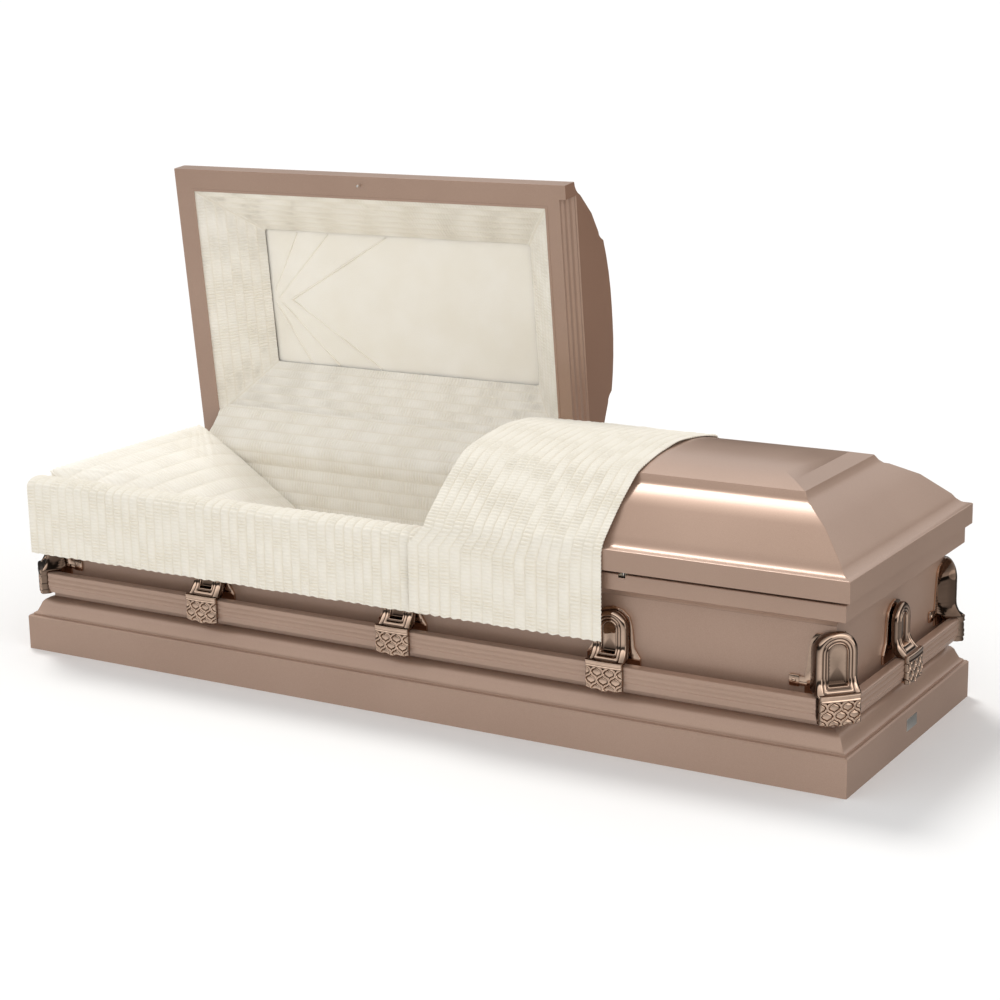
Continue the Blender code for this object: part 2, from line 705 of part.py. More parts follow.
def shield_mesh(name, half_width, top, back, neck, block):
    """Cast shield of an arm: a rounded edge, a raised rib, a groove and a sunk arched panel."""
    rib_top = top - ARM_EDGE_ROUND
    groove = ARM_RIB_WIDTH + ARM_GROOVE_WIDTH
    sill = ARM_FOOT + ARM_PANEL_FOOT
    lip = ARM_PANEL_HALF_WIDTH + ARM_GROOVE_DEPTH
    panel_top = rib_top - 2 * groove
    rib = ARM_RIB_WIDTH
    rings = (
        (half_width, top, ARM_FOOT, ARM_FLARE, None),
        (half_width, top, ARM_FOOT, ARM_FLARE, ARM_EDGE_ROUND),
        (ARM_RIB_HALF_WIDTH, rib_top, ARM_FOOT, ARM_FLARE, 0.0),
        (ARM_RIB_HALF_WIDTH - rib, rib_top - rib, ARM_FOOT + rib, ARM_FLARE / 2, 0.0),
        (ARM_RIB_HALF_WIDTH - groove, rib_top - groove, ARM_FOOT + groove, ARM_FLARE / 4, ARM_GROOVE_DEPTH),
        (lip, panel_top + ARM_GROOVE_DEPTH, sill - ARM_GROOVE_DEPTH, 0.0, ARM_GROOVE_DEPTH / 2),
        (ARM_PANEL_HALF_WIDTH, panel_top, sill, 0.0, ARM_PANEL_DEPTH),
    )
    bm = bmesh.new()
    loops = []
    for width, crest, foot, flare, sink in rings:
        loop = []
        for x, z in shield_outline(width, crest, foot, flare):
            reach = back if sink is None else face_reach(z, neck, block) - sink
            loop.append(bm.verts.new((x, -reach, z)))
        loops.append(loop)
    for outer, inner in zip(loops, loops[1:]):
        bridge_rings(bm, outer, inner)
    bm.faces.new(loops[0])
    bm.faces.new(loops[-1])
    return finish_mesh(bm, name)


def block_mesh(name, half_width, back, face, bottom, top):
    """Foot of an arm in front of the bar, with rows of low studs on its face and a dropped tip."""
    bm = bmesh.new()
    grid = []
    for row in range(BLOCK_ROWS + 1):
        line = []
        for column in range(BLOCK_COLUMNS + 1):
            share = 2 * column / BLOCK_COLUMNS - 1
            low = bottom - BLOCK_TIP * (1 - abs(share))
            z = low + (top - low) * row / BLOCK_ROWS
            inside = 0 < row < BLOCK_ROWS and 0 < column < BLOCK_COLUMNS
            stud = BLOCK_STUD if inside and (row + column) % 2 else 0.0
            line.append(bm.verts.new((half_width * share, -face - stud, z)))
        grid.append(line)
    for low, high in zip(grid, grid[1:]):
        for i in range(BLOCK_COLUMNS):
            bm.faces.new((low[i], low[i + 1], high[i + 1], high[i]))
    edge = grid[0] + [line[-1] for line in grid[1:]] + grid[-1][-2::-1] + [line[0] for line in grid[-2:0:-1]]
    rear = [bm.verts.new((vert.co.x, -back, vert.co.z)) for vert in edge]
    bridge_rings(bm, edge, rear)
    bm.faces.new(rear)
    return finish_mesh(bm, name)


def side_arm_mesh(cutters):
    """Arm for a straight stretch of bar: shield over the bar and a studded block in front of it."""
    back = LUG_THICKNESS + 2 * GAP
    shield = shield_mesh("side_shield", ARM_HALF_WIDTH, SIDE_ARM_TOP, back, SIDE_ARM_NECK, BLOCK_FACE)
    arm = link_object("side_arm_form", shield, cutters)
    block = block_mesh(
        "side_block", BLOCK_HALF_WIDTH, BAR_FACE + GAP, BLOCK_FACE, BLOCK_BOTTOM, ARM_FOOT + BLOCK_RISE
    )
    combine(arm, link_object("side_block_form", block, cutters), "UNION")
    low = (-ARM_RIB_HALF_WIDTH, -BLOCK_FACE + GAP, STRAP_BOTTOM)
    high = (ARM_RIB_HALF_WIDTH, -BAR_FACE + STRAP_REACH, BAR_BOTTOM - GAP)
    combine(arm, link_object("side_strap_form", box_mesh("side_strap", low, high), cutters), "UNION")
    as_cutter(arm)
    return baked_mesh(arm, "side_arm")


def corner_arm_mesh(cutters):
    """Arm for a corner: the shield straddles the corner and its block takes both bar ends."""
    reach = CORNER_BLOCK_REACH
    shield = shield_mesh(
        "corner_shield", CORNER_ARM_HALF_WIDTH, CORNER_ARM_TOP, -CORNER_ARM_BACK, CORNER_ARM_NECK, reach
    )
    arm = link_object("corner_arm_form", shield, cutters)
    block = block_mesh(
        "corner_block", BLOCK_HALF_WIDTH, CORNER_BLOCK_BACK, reach, BLOCK_BOTTOM, ARM_FOOT + BLOCK_RISE
    )
    combine(arm, link_object("corner_block_form", block, cutters), "UNION")
    wall_end = BAR_CORNER_CUT + BAR_INSET - WALL_INSET
    strap_top = BAR_BOTTOM - GAP
    for label, turn in (("front", -45), ("end", 45)):
        side = -1 if turn < 0 else 1
        near, far = side * (wall_end - STRAP_ROOT), side * (wall_end + STRAP_LENGTH)
        outline = (
            (near, -BAR_FACE + STRAP_SET_BACK),
            (far, -BAR_FACE + 2 * STRAP_SET_BACK),
            (far, -BAR_BACK - STRAP_SET_BACK),
            (near, -BAR_BACK),
        )
        strap_mesh = prism_mesh(f"{label}_strap", outline, STRAP_BOTTOM, strap_top, 2)
        strap = link_object(f"{label}_strap_form", strap_mesh, cutters)
        strap.rotation_euler = (0, 0, math.radians(turn))
        combine(arm, strap, "UNION")
    for label, turn in (("front", -45), ("end", 45)):
        side = -1 if turn < 0 else 1
        ends = sorted((side * (wall_end - GAP), side * HALF_Y))
        low = (ends[0], -BAR_FACE - GAP, BAR_BOTTOM - GAP)
        high = (ends[1], -BAR_BACK + GAP, BAR_TOP + GAP)
        room = link_object(f"{label}_bar_room", box_mesh(f"{label}_bar_room", low, high), cutters)
        room.rotation_euler = (0, 0, math.radians(turn))
        combine(arm, room, "DIFFERENCE")
    cover = CORNER_LUG_THICKNESS + 2 * GAP
    wall_mesh = box_mesh("corner_room", (-HALF_Y, -cover, 0.0), (cover, HALF_Y, LID_RIM))
    wall = link_object("corner_room", wall_mesh, cutters)
    wall.rotation_euler = (0, 0, math.radians(-45))
    combine(arm, wall, "DIFFERENCE")
    as_cutter(arm)
    return baked_mesh(arm, "corner_arm")


def side_lug_mesh():
    """Plate between the wall and a side arm, with flared feet."""
    outline = shield_outline(ARM_HALF_WIDTH + LUG_MARGIN, SIDE_ARM_TOP + LUG_MARGIN, ARM_FOOT, 0.0)
    foot = LUG_FOOT_HALF_WIDTH
    waist = ARM_HALF_WIDTH + LUG_WAIST_MARGIN
    left = [(-foot, LUG_BOTTOM), (-foot, LUG_BOTTOM + LUG_FOOT_RISE), (-waist, LUG_BOTTOM + LUG_WAIST_RISE)]
    outline[0:3] = left
    outline[-3:] = [(-x, z) for x, z in reversed(left)]
    return prism_mesh("side_lug", outline, -LUG_THICKNESS - GAP, -GAP, 1)


def corner_lug_mesh(cutters):
    """Angle plate that wraps the wall's corner behind a corner arm, with an ear at each end."""
    top = CORNER_ARM_TOP - CORNER_LUG_TOP_DROP
    leg = CORNER_LUG_LEG
    ear_low = LUG_BOTTOM + CORNER_LUG_EAR_RISE
    ear_top = ear_low + CORNER_LUG_EAR_HEIGHT
    outline = (
        (0.0, LUG_BOTTOM),
        (leg, LUG_BOTTOM),
        (leg, ear_low),
        (leg + CORNER_LUG_EAR, ear_low),
        (leg + CORNER_LUG_EAR, ear_top),
        (leg, ear_top),
        (leg - CORNER_LUG_TAPER, top - CORNER_LUG_SHOULDER),
        (leg - 2 * CORNER_LUG_TAPER, top - CORNER_LUG_TOP_DROP),
        (0.0, top),
    )
    thick = CORNER_LUG_THICKNESS
    front = [(-a + GAP + thick, z) for a, z in outline]
    plate = prism_mesh("corner_lug_front", front, -GAP - thick, -GAP, 1)
    lug = link_object("corner_lug_form", plate, cutters)
    side = [(a - GAP - thick, z) for a, z in outline]
    other = link_object("corner_lug_side", prism_mesh("corner_lug_side", side, GAP, GAP + thick, 0), cutters)
    combine(lug, other, "UNION")
    as_cutter(lug)
    return baked_mesh(lug, "corner_lug")


def build_arms(group, cutters, material):
    """Twelve arms with their lugs: three a side, one an end and one at each corner."""
    side_arm = side_arm_mesh(cutters)
    side_lug = side_lug_mesh()
    corner_arm = corner_arm_mesh(cutters)
    corner_lug = corner_lug_mesh(cutters)
    places = []
    for label, index in (("head", -1), ("middle", 0), ("foot", 1)):
        places.append((f"front_{label}", (index * SIDE_ARM_PITCH, -WALL_Y), 0))
        places.append((f"rear_{label}", (index * SIDE_ARM_PITCH, WALL_Y), 180))
    places.append(("foot_end", (WALL_X, 0), 90))
    places.append(("head_end", (-WALL_X, 0), 270))
    for label, at, turn in places:
        for kind, mesh in (("arm", side_arm), ("lug", side_lug)):
            item = link_object(f"{label}_{kind}", mesh, group, material)
            item.location = (at[0], at[1], 0)
            item.rotation_euler = (0, 0, math.radians(turn))
    for index, label in enumerate(("front_foot", "rear_foot", "rear_head", "front_head")):
        sx = 1 if label.endswith("foot") else -1
        sy = 1 if label.startswith("rear") else -1
        for kind, mesh, turn in (("arm", corner_arm, 45), ("lug", corner_lug, 0)):
            item = link_object(f"{label}_corner_{kind}", mesh, group, material)
            item.location = (sx * WALL_X, sy * WALL_Y, 0)
            item.rotation_euler = (0, 0, math.radians(turn + 90 * index))


def build_plate(group, material):
    """Blank metal plate on the base band at the foot end."""
    low = (HALF_X + GAP, -PLATE_LENGTH / 2, PLATE_BOTTOM)
    high = (HALF_X + GAP + PLATE_THICKNESS, PLATE_LENGTH / 2, PLATE_BOTTOM + PLATE_HEIGHT)
    link_object("foot_end_plate", box_mesh("foot_end_plate", low, high), group, material)


def wall_lining_inset(z):
    """How far the crepe wall lining stands off the steel at a height."""
    top = RIM_HEIGHT - WALL_LINING_DROP
    share = (top - z) / (top - MATTRESS_HEIGHT)
    return WALL_LINING_TOP + (WALL_LINING_FOOT - WALL_LINING_TOP) * share


def build_wall_lining(group, material):
    """Crepe lining round the inside of the body, thicker towards the mattress."""
    x = WALL_X - STEEL - GAP
    y = WALL_Y - STEEL - GAP
    top = RIM_HEIGHT - WALL_LINING_DROP
    foot = MATTRESS_HEIGHT - WALL_LINING_LAP
    section = ((0, foot), (0, top), (WALL_LINING_TOP, top), (wall_lining_inset(foot), foot))
    link_object("wall_lining", mitred_frame("wall_lining", section, (-x, x, -y, y)), group, material)


def build_mattress(group, material):
    """Mattress that fills the foot of the body between the linings."""
    lining = wall_lining_inset(MATTRESS_HEIGHT - WALL_LINING_LAP)
    inset = WALL_INSET + STEEL + GAP + lining + MATTRESS_CLEARANCE
    x, y = HALF_X - inset, HALF_Y - inset
    mesh = box_mesh("mattress", (-x, -y, STEEL + GAP), (x, y, MATTRESS_HEIGHT))
    mattress = link_object("mattress", mesh, group, material)
    rounding = mattress.modifiers.new("rounded edges", "BEVEL")
    rounding.width = MATTRESS_ROUND
    rounding.segments = 2


def build_pillow(group, material):
    """Crowned pillow that slopes from the head rim down to the mattress."""
    bm = bmesh.new()
    bmesh.ops.create_grid(bm, x_segments=4, y_segments=4, size=0.5)
    bmesh.ops.solidify(bm, geom=bm.faces[:], thickness=0.25)
    foot_half = WALL_Y - STEEL - wall_lining_inset(MATTRESS_HEIGHT) - PILLOW_SIDE_CLEARANCE
    head_half = MOUTH_Y - PILLOW_SIDE_CLEARANCE
    levels = sorted({round(vert.co.z, 4) for vert in bm.verts})
    for vert in bm.verts:
        along = vert.co.x + 0.5
        across = vert.co.y * 2
        half = head_half + (foot_half - head_half) * along
        fullness = (1 - (2 * along - 1) ** 4) * (1 - across ** 4)
        side = 1 if vert.co.z > sum(levels) / 2 else -1
        pinch = 1 - 0.05 * (2 * along - 1) ** 2
        vert.co.x = PILLOW_LENGTH * along
        vert.co.y = across * half * pinch
        vert.co.z = side * PILLOW_THICKNESS * (0.10 + 0.40 * fullness)
    mesh = finish_mesh(bm, "pillow")
    pillow = link_object("pillow", mesh, group, material)
    smooth = pillow.modifiers.new("soft form", "SUBSURF")
    smooth.levels = 1
    smooth.render_levels = 1
    foot_x = -MOUTH_X + PILLOW_HEAD_CLEARANCE + PILLOW_LENGTH * math.cos(PILLOW_TILT)
    foot_z = MATTRESS_HEIGHT + PILLOW_REST
    head_x = foot_x - PILLOW_LENGTH * math.cos(PILLOW_TILT)
    head_z = foot_z + PILLOW_LENGTH * math.sin(PILLOW_TILT)
    pillow.location = (head_x, 0, head_z)
    pillow.rotation_euler = (0, PILLOW_TILT, 0)


def build_gusset(group, material, parent):
    """Crepe strip over the head lid's rear flange, where the lid and body linings meet."""
    mouth = lid_mouth(-LID_X, HEAD_LID_END)
    high_z = LID_RIM - HEM_DEPTH - GAP
    low = (mouth[0], LID_Y - LID_FLANGE, high_z - GUSSET_THICKNESS)
    high = (mouth[1], LID_Y - LID_FLANGE + GUSSET_WIDTH, high_z)
    name = "rear_gusset"
    link_object(name, box_mesh(name, low, high), group, material, parent)


def build_apron(group, cutters, material):
    """Crepe apron: a soft roll over the front rim and a skirt that hangs outside it."""
    face = -BAND_Y - APRON_STAND_OFF
    seal_top = RIM_HEIGHT + GAP + SEAL_HEIGHT + GAP
    inner = -MOUTH_Y + 2 * GAP
    roll_top = RIM_HEIGHT + APRON_ROLL
    hem = RIM_HEIGHT - APRON_DROP
    outer_face = face - APRON_THICKNESS
    roll_low = seal_top + APRON_THICKNESS
    middle = (outer_face + inner + APRON_INSIDE) / 2
    half = (inner + APRON_INSIDE - outer_face) / 2
    tuck = RIM_HEIGHT - WALL_LINING_DROP + GAP
    outline = [(face, hem), (face, seal_top), (inner, seal_top), (inner, tuck)]
    outline += [(inner + APRON_INSIDE, tuck)]
    for i in range(9):
        angle = math.radians(180 * i / 8)
        outline.append((middle + half * math.cos(angle), roll_low + (roll_top - roll_low) * math.sin(angle)))
    outline += [(outer_face, hem)]
    low, high = -BAND_X + APRON_HEAD_INSET, HEAD_LID_END
    apron = link_object("apron", prism_mesh("apron", outline, low, high, 0), group, material)
    low = (-HALF_X, inner - CUT_OVER, tuck - CUT_OVER)
    high = (-MOUTH_X + GAP, inner + APRON_INSIDE + CUT_OVER, seal_top)
    room = link_object("apron_head_room", box_mesh("apron_head_room", low, high), cutters)
    combine(apron, room, "DIFFERENCE")


def overthrow_path():
    """Underside of the overthrow as (y, z): up the front, over the crown and a little way down the rear."""
    outside = inward(lid_profile(), -OVERTHROW_CLEARANCE)
    front = [(s - LID_Y, z) for s, z in outside]
    rear = [(-y, z) for y, z in reversed(front) if -y < OVERTHROW_REAR]
    rear.append((OVERTHROW_REAR, lid_height_at(OVERTHROW_REAR) + OVERTHROW_CLEARANCE))
    return [(front[0][0], LID_RIM - OVERTHROW_DROP)] + front + rear


def build_overthrow(group, material, parent):
    """Crepe overthrow laid on the foot lid: it hangs down the front and runs over the crown."""
    bm = bmesh.new()
    lines = []
    for y, z in overthrow_path():
        lines.append([bm.verts.new((x, y, z)) for x in (FOOT_LID_START, OVERTHROW_FOOT_EDGE)])
    for low, high in zip(lines, lines[1:]):
        bm.faces.new((low[0], low[1], high[1], high[0]))
    mesh = finish_mesh(bm, "overthrow")
    cloth = link_object("overthrow", mesh, group, material, parent)
    shell = cloth.modifiers.new("thickness", "SOLIDIFY")
    shell.thickness = OVERTHROW_THICKNESS
    shell.offset = 1.0 if mesh.polygons[0].normal.y < 0 else -1.0
    shell.use_even_offset = True


def build_casket():
    """Build every piece of the casket."""
    empty_scene()
    group = new_collection("funeral_casket")
    cutters = new_collection("cutters")
    paint = new_material("rose_bronze_paint", (0.36, 0.25, 0.20), 0.32, 0.45)
    plating = new_material("bronze_plating", (0.62, 0.44, 0.34), 0.12, 1.0)
    bright = new_material("bright_steel", (0.75, 0.75, 0.74), 0.2, 1.0)
    rubber = new_material("black_rubber", (0.02, 0.02, 0.02), 0.7, 0.0)
    crepe = new_material("ivory_crepe", (0.86, 0.83, 0.72), 0.85, 0.0)
    satin = new_material("ivory_satin", (0.88, 0.86, 0.77), 0.55, 0.0)

    build_case(group, cutters, paint)
    build_seal(group, rubber)

    lids = {}
    for label in ("head", "foot"):
        axis = bpy.data.objects.new(f"{label}_lid_axis", None)
        group.objects.link(axis)
        axis.location = (0.0, HINGE_Y, HINGE_Z)
        lids[label] = axis
    spans = {"head": (-LID_X, HEAD_LID_END), "foot": (FOOT_LID_START, LID_X)}
    for label, (x_low, x_high) in spans.items():
        axis = lids[label]
        build_lid(f"{label}_lid", group, cutters, paint, axis, x_low, x_high)
        build_lid_lining(label, group, crepe, satin, axis, x_low, x_high)
        for end, x in (("outer", x_low + HINGE_EDGE_DISTANCE), ("inner", x_high - HINGE_EDGE_DISTANCE)):
            build_hinge(f"{label}_{end}", group, cutters, bright, axis, x)
    build_pin("head_lid_pin", group, bright, lids["head"], HEAD_PIN_X)
    build_pin("foot_lid_pin", group, bright, lids["foot"], FOOT_PIN_X)
    build_gusset(group, crepe, lids["head"])
    build_overthrow(group, crepe, lids["foot"])
    lids["head"].rotation_euler = (-OPEN_ANGLE, 0.0, 0.0)

    build_bars(group, paint)
    build_arms(group, cutters, plating)
    build_plate(group, bright)
    build_wall_lining(group, crepe)
    build_mattress(group, satin)
    build_pillow(group, crepe)
    build_apron(group, cutters, crepe)


build_casket()
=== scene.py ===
"""Looks of a half-couch steel burial casket: painted steel, bronze castings and a shirred crepe interior."""
import json
import math

import bmesh
import bpy
import numpy as np
from bpy.props import FloatProperty, FloatVectorProperty, IntProperty, PointerProperty
from bpy.types import Operator, Panel, PropertyGroup
from mathutils import Matrix, Vector


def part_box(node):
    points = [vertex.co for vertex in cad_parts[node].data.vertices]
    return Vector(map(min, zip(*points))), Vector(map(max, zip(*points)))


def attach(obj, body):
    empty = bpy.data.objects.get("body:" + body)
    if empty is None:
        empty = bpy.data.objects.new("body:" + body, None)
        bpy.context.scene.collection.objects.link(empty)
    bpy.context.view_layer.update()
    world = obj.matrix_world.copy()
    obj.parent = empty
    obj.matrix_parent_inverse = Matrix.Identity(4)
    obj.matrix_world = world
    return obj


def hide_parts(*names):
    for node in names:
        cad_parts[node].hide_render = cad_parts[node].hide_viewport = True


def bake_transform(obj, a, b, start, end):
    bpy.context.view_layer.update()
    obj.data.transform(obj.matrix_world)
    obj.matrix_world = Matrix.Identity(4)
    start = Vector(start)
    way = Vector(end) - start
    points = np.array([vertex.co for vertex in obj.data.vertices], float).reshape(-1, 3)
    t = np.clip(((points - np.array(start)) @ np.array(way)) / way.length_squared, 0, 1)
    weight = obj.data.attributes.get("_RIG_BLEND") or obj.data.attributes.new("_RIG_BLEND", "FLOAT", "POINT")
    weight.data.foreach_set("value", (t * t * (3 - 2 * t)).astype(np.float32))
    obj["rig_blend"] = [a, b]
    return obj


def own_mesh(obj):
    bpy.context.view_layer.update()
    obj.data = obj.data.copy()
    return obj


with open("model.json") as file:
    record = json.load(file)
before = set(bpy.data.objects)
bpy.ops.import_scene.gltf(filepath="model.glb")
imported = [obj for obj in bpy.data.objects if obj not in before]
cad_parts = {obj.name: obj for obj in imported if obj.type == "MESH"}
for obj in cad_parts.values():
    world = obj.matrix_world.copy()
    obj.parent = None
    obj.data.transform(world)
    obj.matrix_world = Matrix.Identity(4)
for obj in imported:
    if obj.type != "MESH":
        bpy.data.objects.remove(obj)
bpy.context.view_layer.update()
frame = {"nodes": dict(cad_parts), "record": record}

bl_info = {
    "name": "Burial Casket",
    "version": (1, 0, 0),
    "blender": (4, 5, 0),
    "location": "View3D > Sidebar > Casket",
    "description": "Paint, castings and soft furnishing of a half-couch steel casket",
    "category": "Object",
}

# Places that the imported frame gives
WALL_LOW, WALL_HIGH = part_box("casket_walls")
RIM_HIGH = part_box("casket_rim")[1]
BAR_LOW, BAR_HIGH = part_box("front_bar")
SIDE_ARM_LOW, SIDE_ARM_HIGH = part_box("front_middle_arm")
CORNER_ARM_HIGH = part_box("front_foot_corner_arm")[1]
APRON_LOW, APRON_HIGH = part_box("apron")
OVERTHROW_LOW, OVERTHROW_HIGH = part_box("overthrow")
MATTRESS_LOW, MATTRESS_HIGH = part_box("mattress")
FOOT_LID_LOW, FOOT_LID_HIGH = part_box("foot_lid")
WALL_X, WALL_Y = WALL_HIGH.x, WALL_HIGH.y
RIM_TOP = RIM_HIGH.z

# Hinge of the open head lid, as the record has it
HINGE = [joint for joint in frame["record"]["behaviour"]["joints"] if joint["name"] == "head_lid_hinge"][0]
HINGE_Y, HINGE_Z = HINGE["pos_m"][1:]
OPEN_TURN = math.radians(HINGE["range_deg"][0])

# Flanges of the case and the lids
RIM_FLANGE = 0.040
MOUTH_X = RIM_HIGH.x - RIM_FLANGE
LID_X, LID_Y = FOOT_LID_HIGH.x, FOOT_LID_HIGH.y
LID_RIM = RIM_TOP + 0.008
LID_FLANGE = 0.056
HEAD_LID_END = FOOT_LID_LOW.x - 0.005
LINING_BASE = LID_RIM + 0.0022

# How near points of two sheets have to be to be joined, and the thickness of a hemmed cloth
WELD_REACH = 0.0002
CLOTH_THICKNESS = 0.0016


def colour_setting(name, description, default):
    """Setting for a colour."""
    return FloatVectorProperty(
        name=name, description=description, subtype="COLOR", size=3, min=0, max=1, default=default,
    )


def length_setting(name, description, default):
    """Setting for a length in metres."""
    return FloatProperty(name=name, description=description, unit="LENGTH", default=default)


class CasketSteel(PropertyGroup):
    """Sizes and colours of the painted steel."""

    paint: colour_setting("Paint", "Colour of the enamel in the light", (0.470, 0.318, 0.240))
    paint_shade: colour_setting("Paint shade", "Darker flakes of the enamel", (0.405, 0.265, 0.195))
    fold_radius: length_setting("Fold radius", "Radius of the pressed corners", 0.0022)


class CasketFittings(PropertyGroup):
    """Sizes and colours of the castings and small metal."""

    bronze: colour_setting("Bronze", "Colour of the plating", (0.74, 0.53, 0.40))
    # Dark lacquer in the hollows of the castings; the same colour also paints shade on their rounded outer
    # edges
    patina: colour_setting("Patina", "Dark lacquer in the hollows of the castings", (0.060, 0.034, 0.022))
    lattice_columns: IntProperty(
        name="Lattice columns", description="Faces across a lattice block", default=96, min=8,
    )
    lattice_rows: IntProperty(
        name="Lattice rows", description="Faces up a lattice block", default=64, min=8,
    )
    strand_height: length_setting("Strand height", "How far the lattice strands stand up", 0.0022)


class CasketCloth(PropertyGroup):
    """Sizes and colours of the crepe and satin."""

    crepe: colour_setting("Crepe", "Colour of the crepe", (0.884, 0.840, 0.748))
    # Painted light: the same crepe as outside, made paler inside the casket and lids and on the pillow to
    # stand in for light reaching in there
    crepe_inside: colour_setting("Inner crepe", "Crepe inside the casket and lids", (0.985, 0.952, 0.880))
    crepe_shade: colour_setting("Crepe shade", "Warmer colour in the crepe's threads", (0.868, 0.825, 0.734))
    # Painted shade: the colour that the crepe is darkened to in its folds, at its stitches and along its
    # seams
    crepe_hollow: colour_setting("Crepe hollow", "Crepe in folds and at stitches", (0.760, 0.690, 0.550))
    satin: colour_setting("Satin", "Colour of the satin", (0.930, 0.885, 0.785))
    ripple_pitch: length_setting("Ripple pitch", "Distance between gathered ripples", 0.0080)
    ripple_height: length_setting("Ripple height", "Height of the gathered ripples", 0.0019)
    stitch_pitch: length_setting("Stitch pitch", "Distance between the stitch rows of the skirts", 0.024)
    row_pitch: length_setting("Row pitch", "Distance between the rows inside the casket", 0.031)
    puff: length_setting("Puff", "How far the crepe stands up between its stitch rows", 0.0030)


class CasketSettings(PropertyGroup):
    """All the sizes and colours of the casket."""

    steel: PointerProperty(type=CasketSteel)
    fittings: PointerProperty(type=CasketFittings)
    cloth: PointerProperty(type=CasketCloth)


def deselect_all():
    """Leave nothing selected, in object mode."""
    if bpy.context.object and bpy.context.object.mode != "OBJECT":
        bpy.ops.object.mode_set(mode="OBJECT")
    bpy.ops.object.select_all(action="DESELECT")


def choose(piece):
    """Make a piece the only selected and active one."""
    deselect_all()
    piece.select_set(True)
    bpy.context.view_layer.objects.active = piece


def enter_edit(piece, kind):
    """Go into edit mode on a piece, with nothing selected."""
    choose(piece)
    bpy.ops.object.mode_set(mode="EDIT")
    bpy.ops.mesh.select_mode(type=kind)
    bpy.ops.mesh.select_all(action="DESELECT")


def leave_edit():
    """Go back to object mode."""
    bpy.ops.object.mode_set(mode="OBJECT")


def pick(piece, kind, rule):
    """Select the points, edges or faces that a rule holds for, and count them."""
    mesh = bmesh.from_edit_mesh(piece.data)
    count = 0
    for part in getattr(mesh, kind):
        part.select_set(False)
    for part in getattr(mesh, kind):
        if rule(part):
            part.select_set(True)
            count += 1
    mesh.select_flush_mode()
    bmesh.update_edit_mesh(piece.data)
    return count


def settle(piece):
    """Put a piece's place into its mesh."""
    choose(piece)
    bpy.ops.object.transform_apply(location=True, rotation=True, scale=True)


def add_step(piece, kind, name, **values):
    """Add a modifier and apply it."""
    step = piece.modifiers.new(name, kind)
    for key, value in values.items():
        setattr(step, key, value)
    choose(piece)
    bpy.ops.object.modifier_apply(modifier=step.name)


def soften(piece, width, sharper=None, segments=2):
    """Round a piece's edges a little, all of them or those sharper than an angle."""
    if sharper is None:
        add_step(piece, "BEVEL", "soft edge", width=width, segments=segments)
    else:
        add_step(piece, "BEVEL", "soft edge", width=width, segments=segments, limit_method="ANGLE",
                 angle_limit=math.radians(sharper))


def smooth(piece, degrees):
    """Shade smooth, with edges sharper than an angle kept crisp."""
    choose(piece)
    bpy.ops.object.shade_smooth_by_angle(angle=math.radians(degrees))


def dress(piece, material):
    """Give a piece its only material."""
    piece.data.materials.clear()
    piece.data.materials.append(material)


def clothe(piece, material, degrees=60):
    """Shade a soft piece and give it its cloth."""
    smooth(piece, degrees)
    dress(piece, bpy.data.materials[material])


def weld(piece):
    """Join the points where the sheets of a piece meet."""
    enter_edit(piece, "VERT")
    bpy.ops.mesh.select_all(action="SELECT")
    bpy.ops.mesh.remove_doubles(threshold=WELD_REACH)
    leave_edit()


def merged_copy(node, name):
    """Own copy of a CAD node's mesh, with its loose triangles joined into whole faces."""
    source = frame["nodes"][node]
    piece = bpy.data.objects.new(name, source.data.copy())
    bpy.context.scene.collection.objects.link(piece)
    enter_edit(piece, "EDGE")
    bpy.ops.mesh.select_all(action="SELECT")
    bpy.ops.mesh.remove_doubles(threshold=0.00002)
    bpy.ops.mesh.dissolve_limited(angle_limit=math.radians(0.4))
    leave_edit()
    return piece


def body_of_node(node):
    """Name of the body that a CAD node rides on."""
    for body, nodes in frame["record"]["behaviour"]["bodies"].items():
        if node in nodes:
            return body
    raise RuntimeError(f"no body has the node {node}")


def stands_for(piece, node):
    """Let a piece ride where its CAD node does and be shown in its place."""
    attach(piece, body_of_node(node))
    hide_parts(node)


def finished(piece, degrees, material, node):
    """Shade a rigid piece, dress it and let it stand for its CAD node."""
    smooth(piece, degrees)
    dress(piece, material)
    stands_for(piece, node)


def points_of(piece, kind="co"):
    """Places or normals of a piece's points, as rows."""
    source = piece.data.vertices if kind == "co" else piece.data.vertex_normals
    rows = np.zeros(len(piece.data.vertices) * 3, np.float32)
    source.foreach_get("co" if kind == "co" else "vector", rows)
    return rows.reshape(-1, 3).astype(float)


def move_points(piece, rows):
    """Give a piece's points new places."""
    piece.data.vertices.foreach_set("co", rows.astype(np.float32).reshape(-1))
    piece.data.update()


def node_tree(name):
    """New material with its shader and a place to add nodes."""
    if name in bpy.data.materials:
        raise RuntimeError(f"the frame already has a material named {name}")
    material = bpy.data.materials.new(name)
    material.use_nodes = True
    tree = material.node_tree
    return material, tree, tree.nodes["Principled BSDF"]


def add_node(tree, kind, **values):
    """Add a shader node; names that are inputs are set as inputs."""
    node = tree.nodes.new(kind)
    for key, value in values.items():
        if key in node.inputs:
            node.inputs[key].default_value = value
        else:
            setattr(node, key, value)
    return node


def set_inputs(node, **values):
    """Set a node's inputs by name, with _ for a space."""
    for name, value in values.items():
        node.inputs[name.replace("_", " ")].default_value = value


def noise_node(tree, source, scale, detail, roughness=0.5):
    """Noise texture on given coordinates."""
    node = add_node(tree, "ShaderNodeTexNoise", Scale=scale, Detail=detail, Roughness=roughness)
    tree.links.new(source, node.inputs["Vector"])
    return node


def ramp_node(tree, source, low, high, low_colour, high_colour):
    """Colour ramp between two colours."""
    node = add_node(tree, "ShaderNodeValToRGB")
    tree.links.new(source, node.inputs["Fac"])
    first, last = node.color_ramp.elements
    first.position, last.position = low, high
    first.color = (*low_colour, 1.0)
    last.color = (*high_colour, 1.0)
    return node


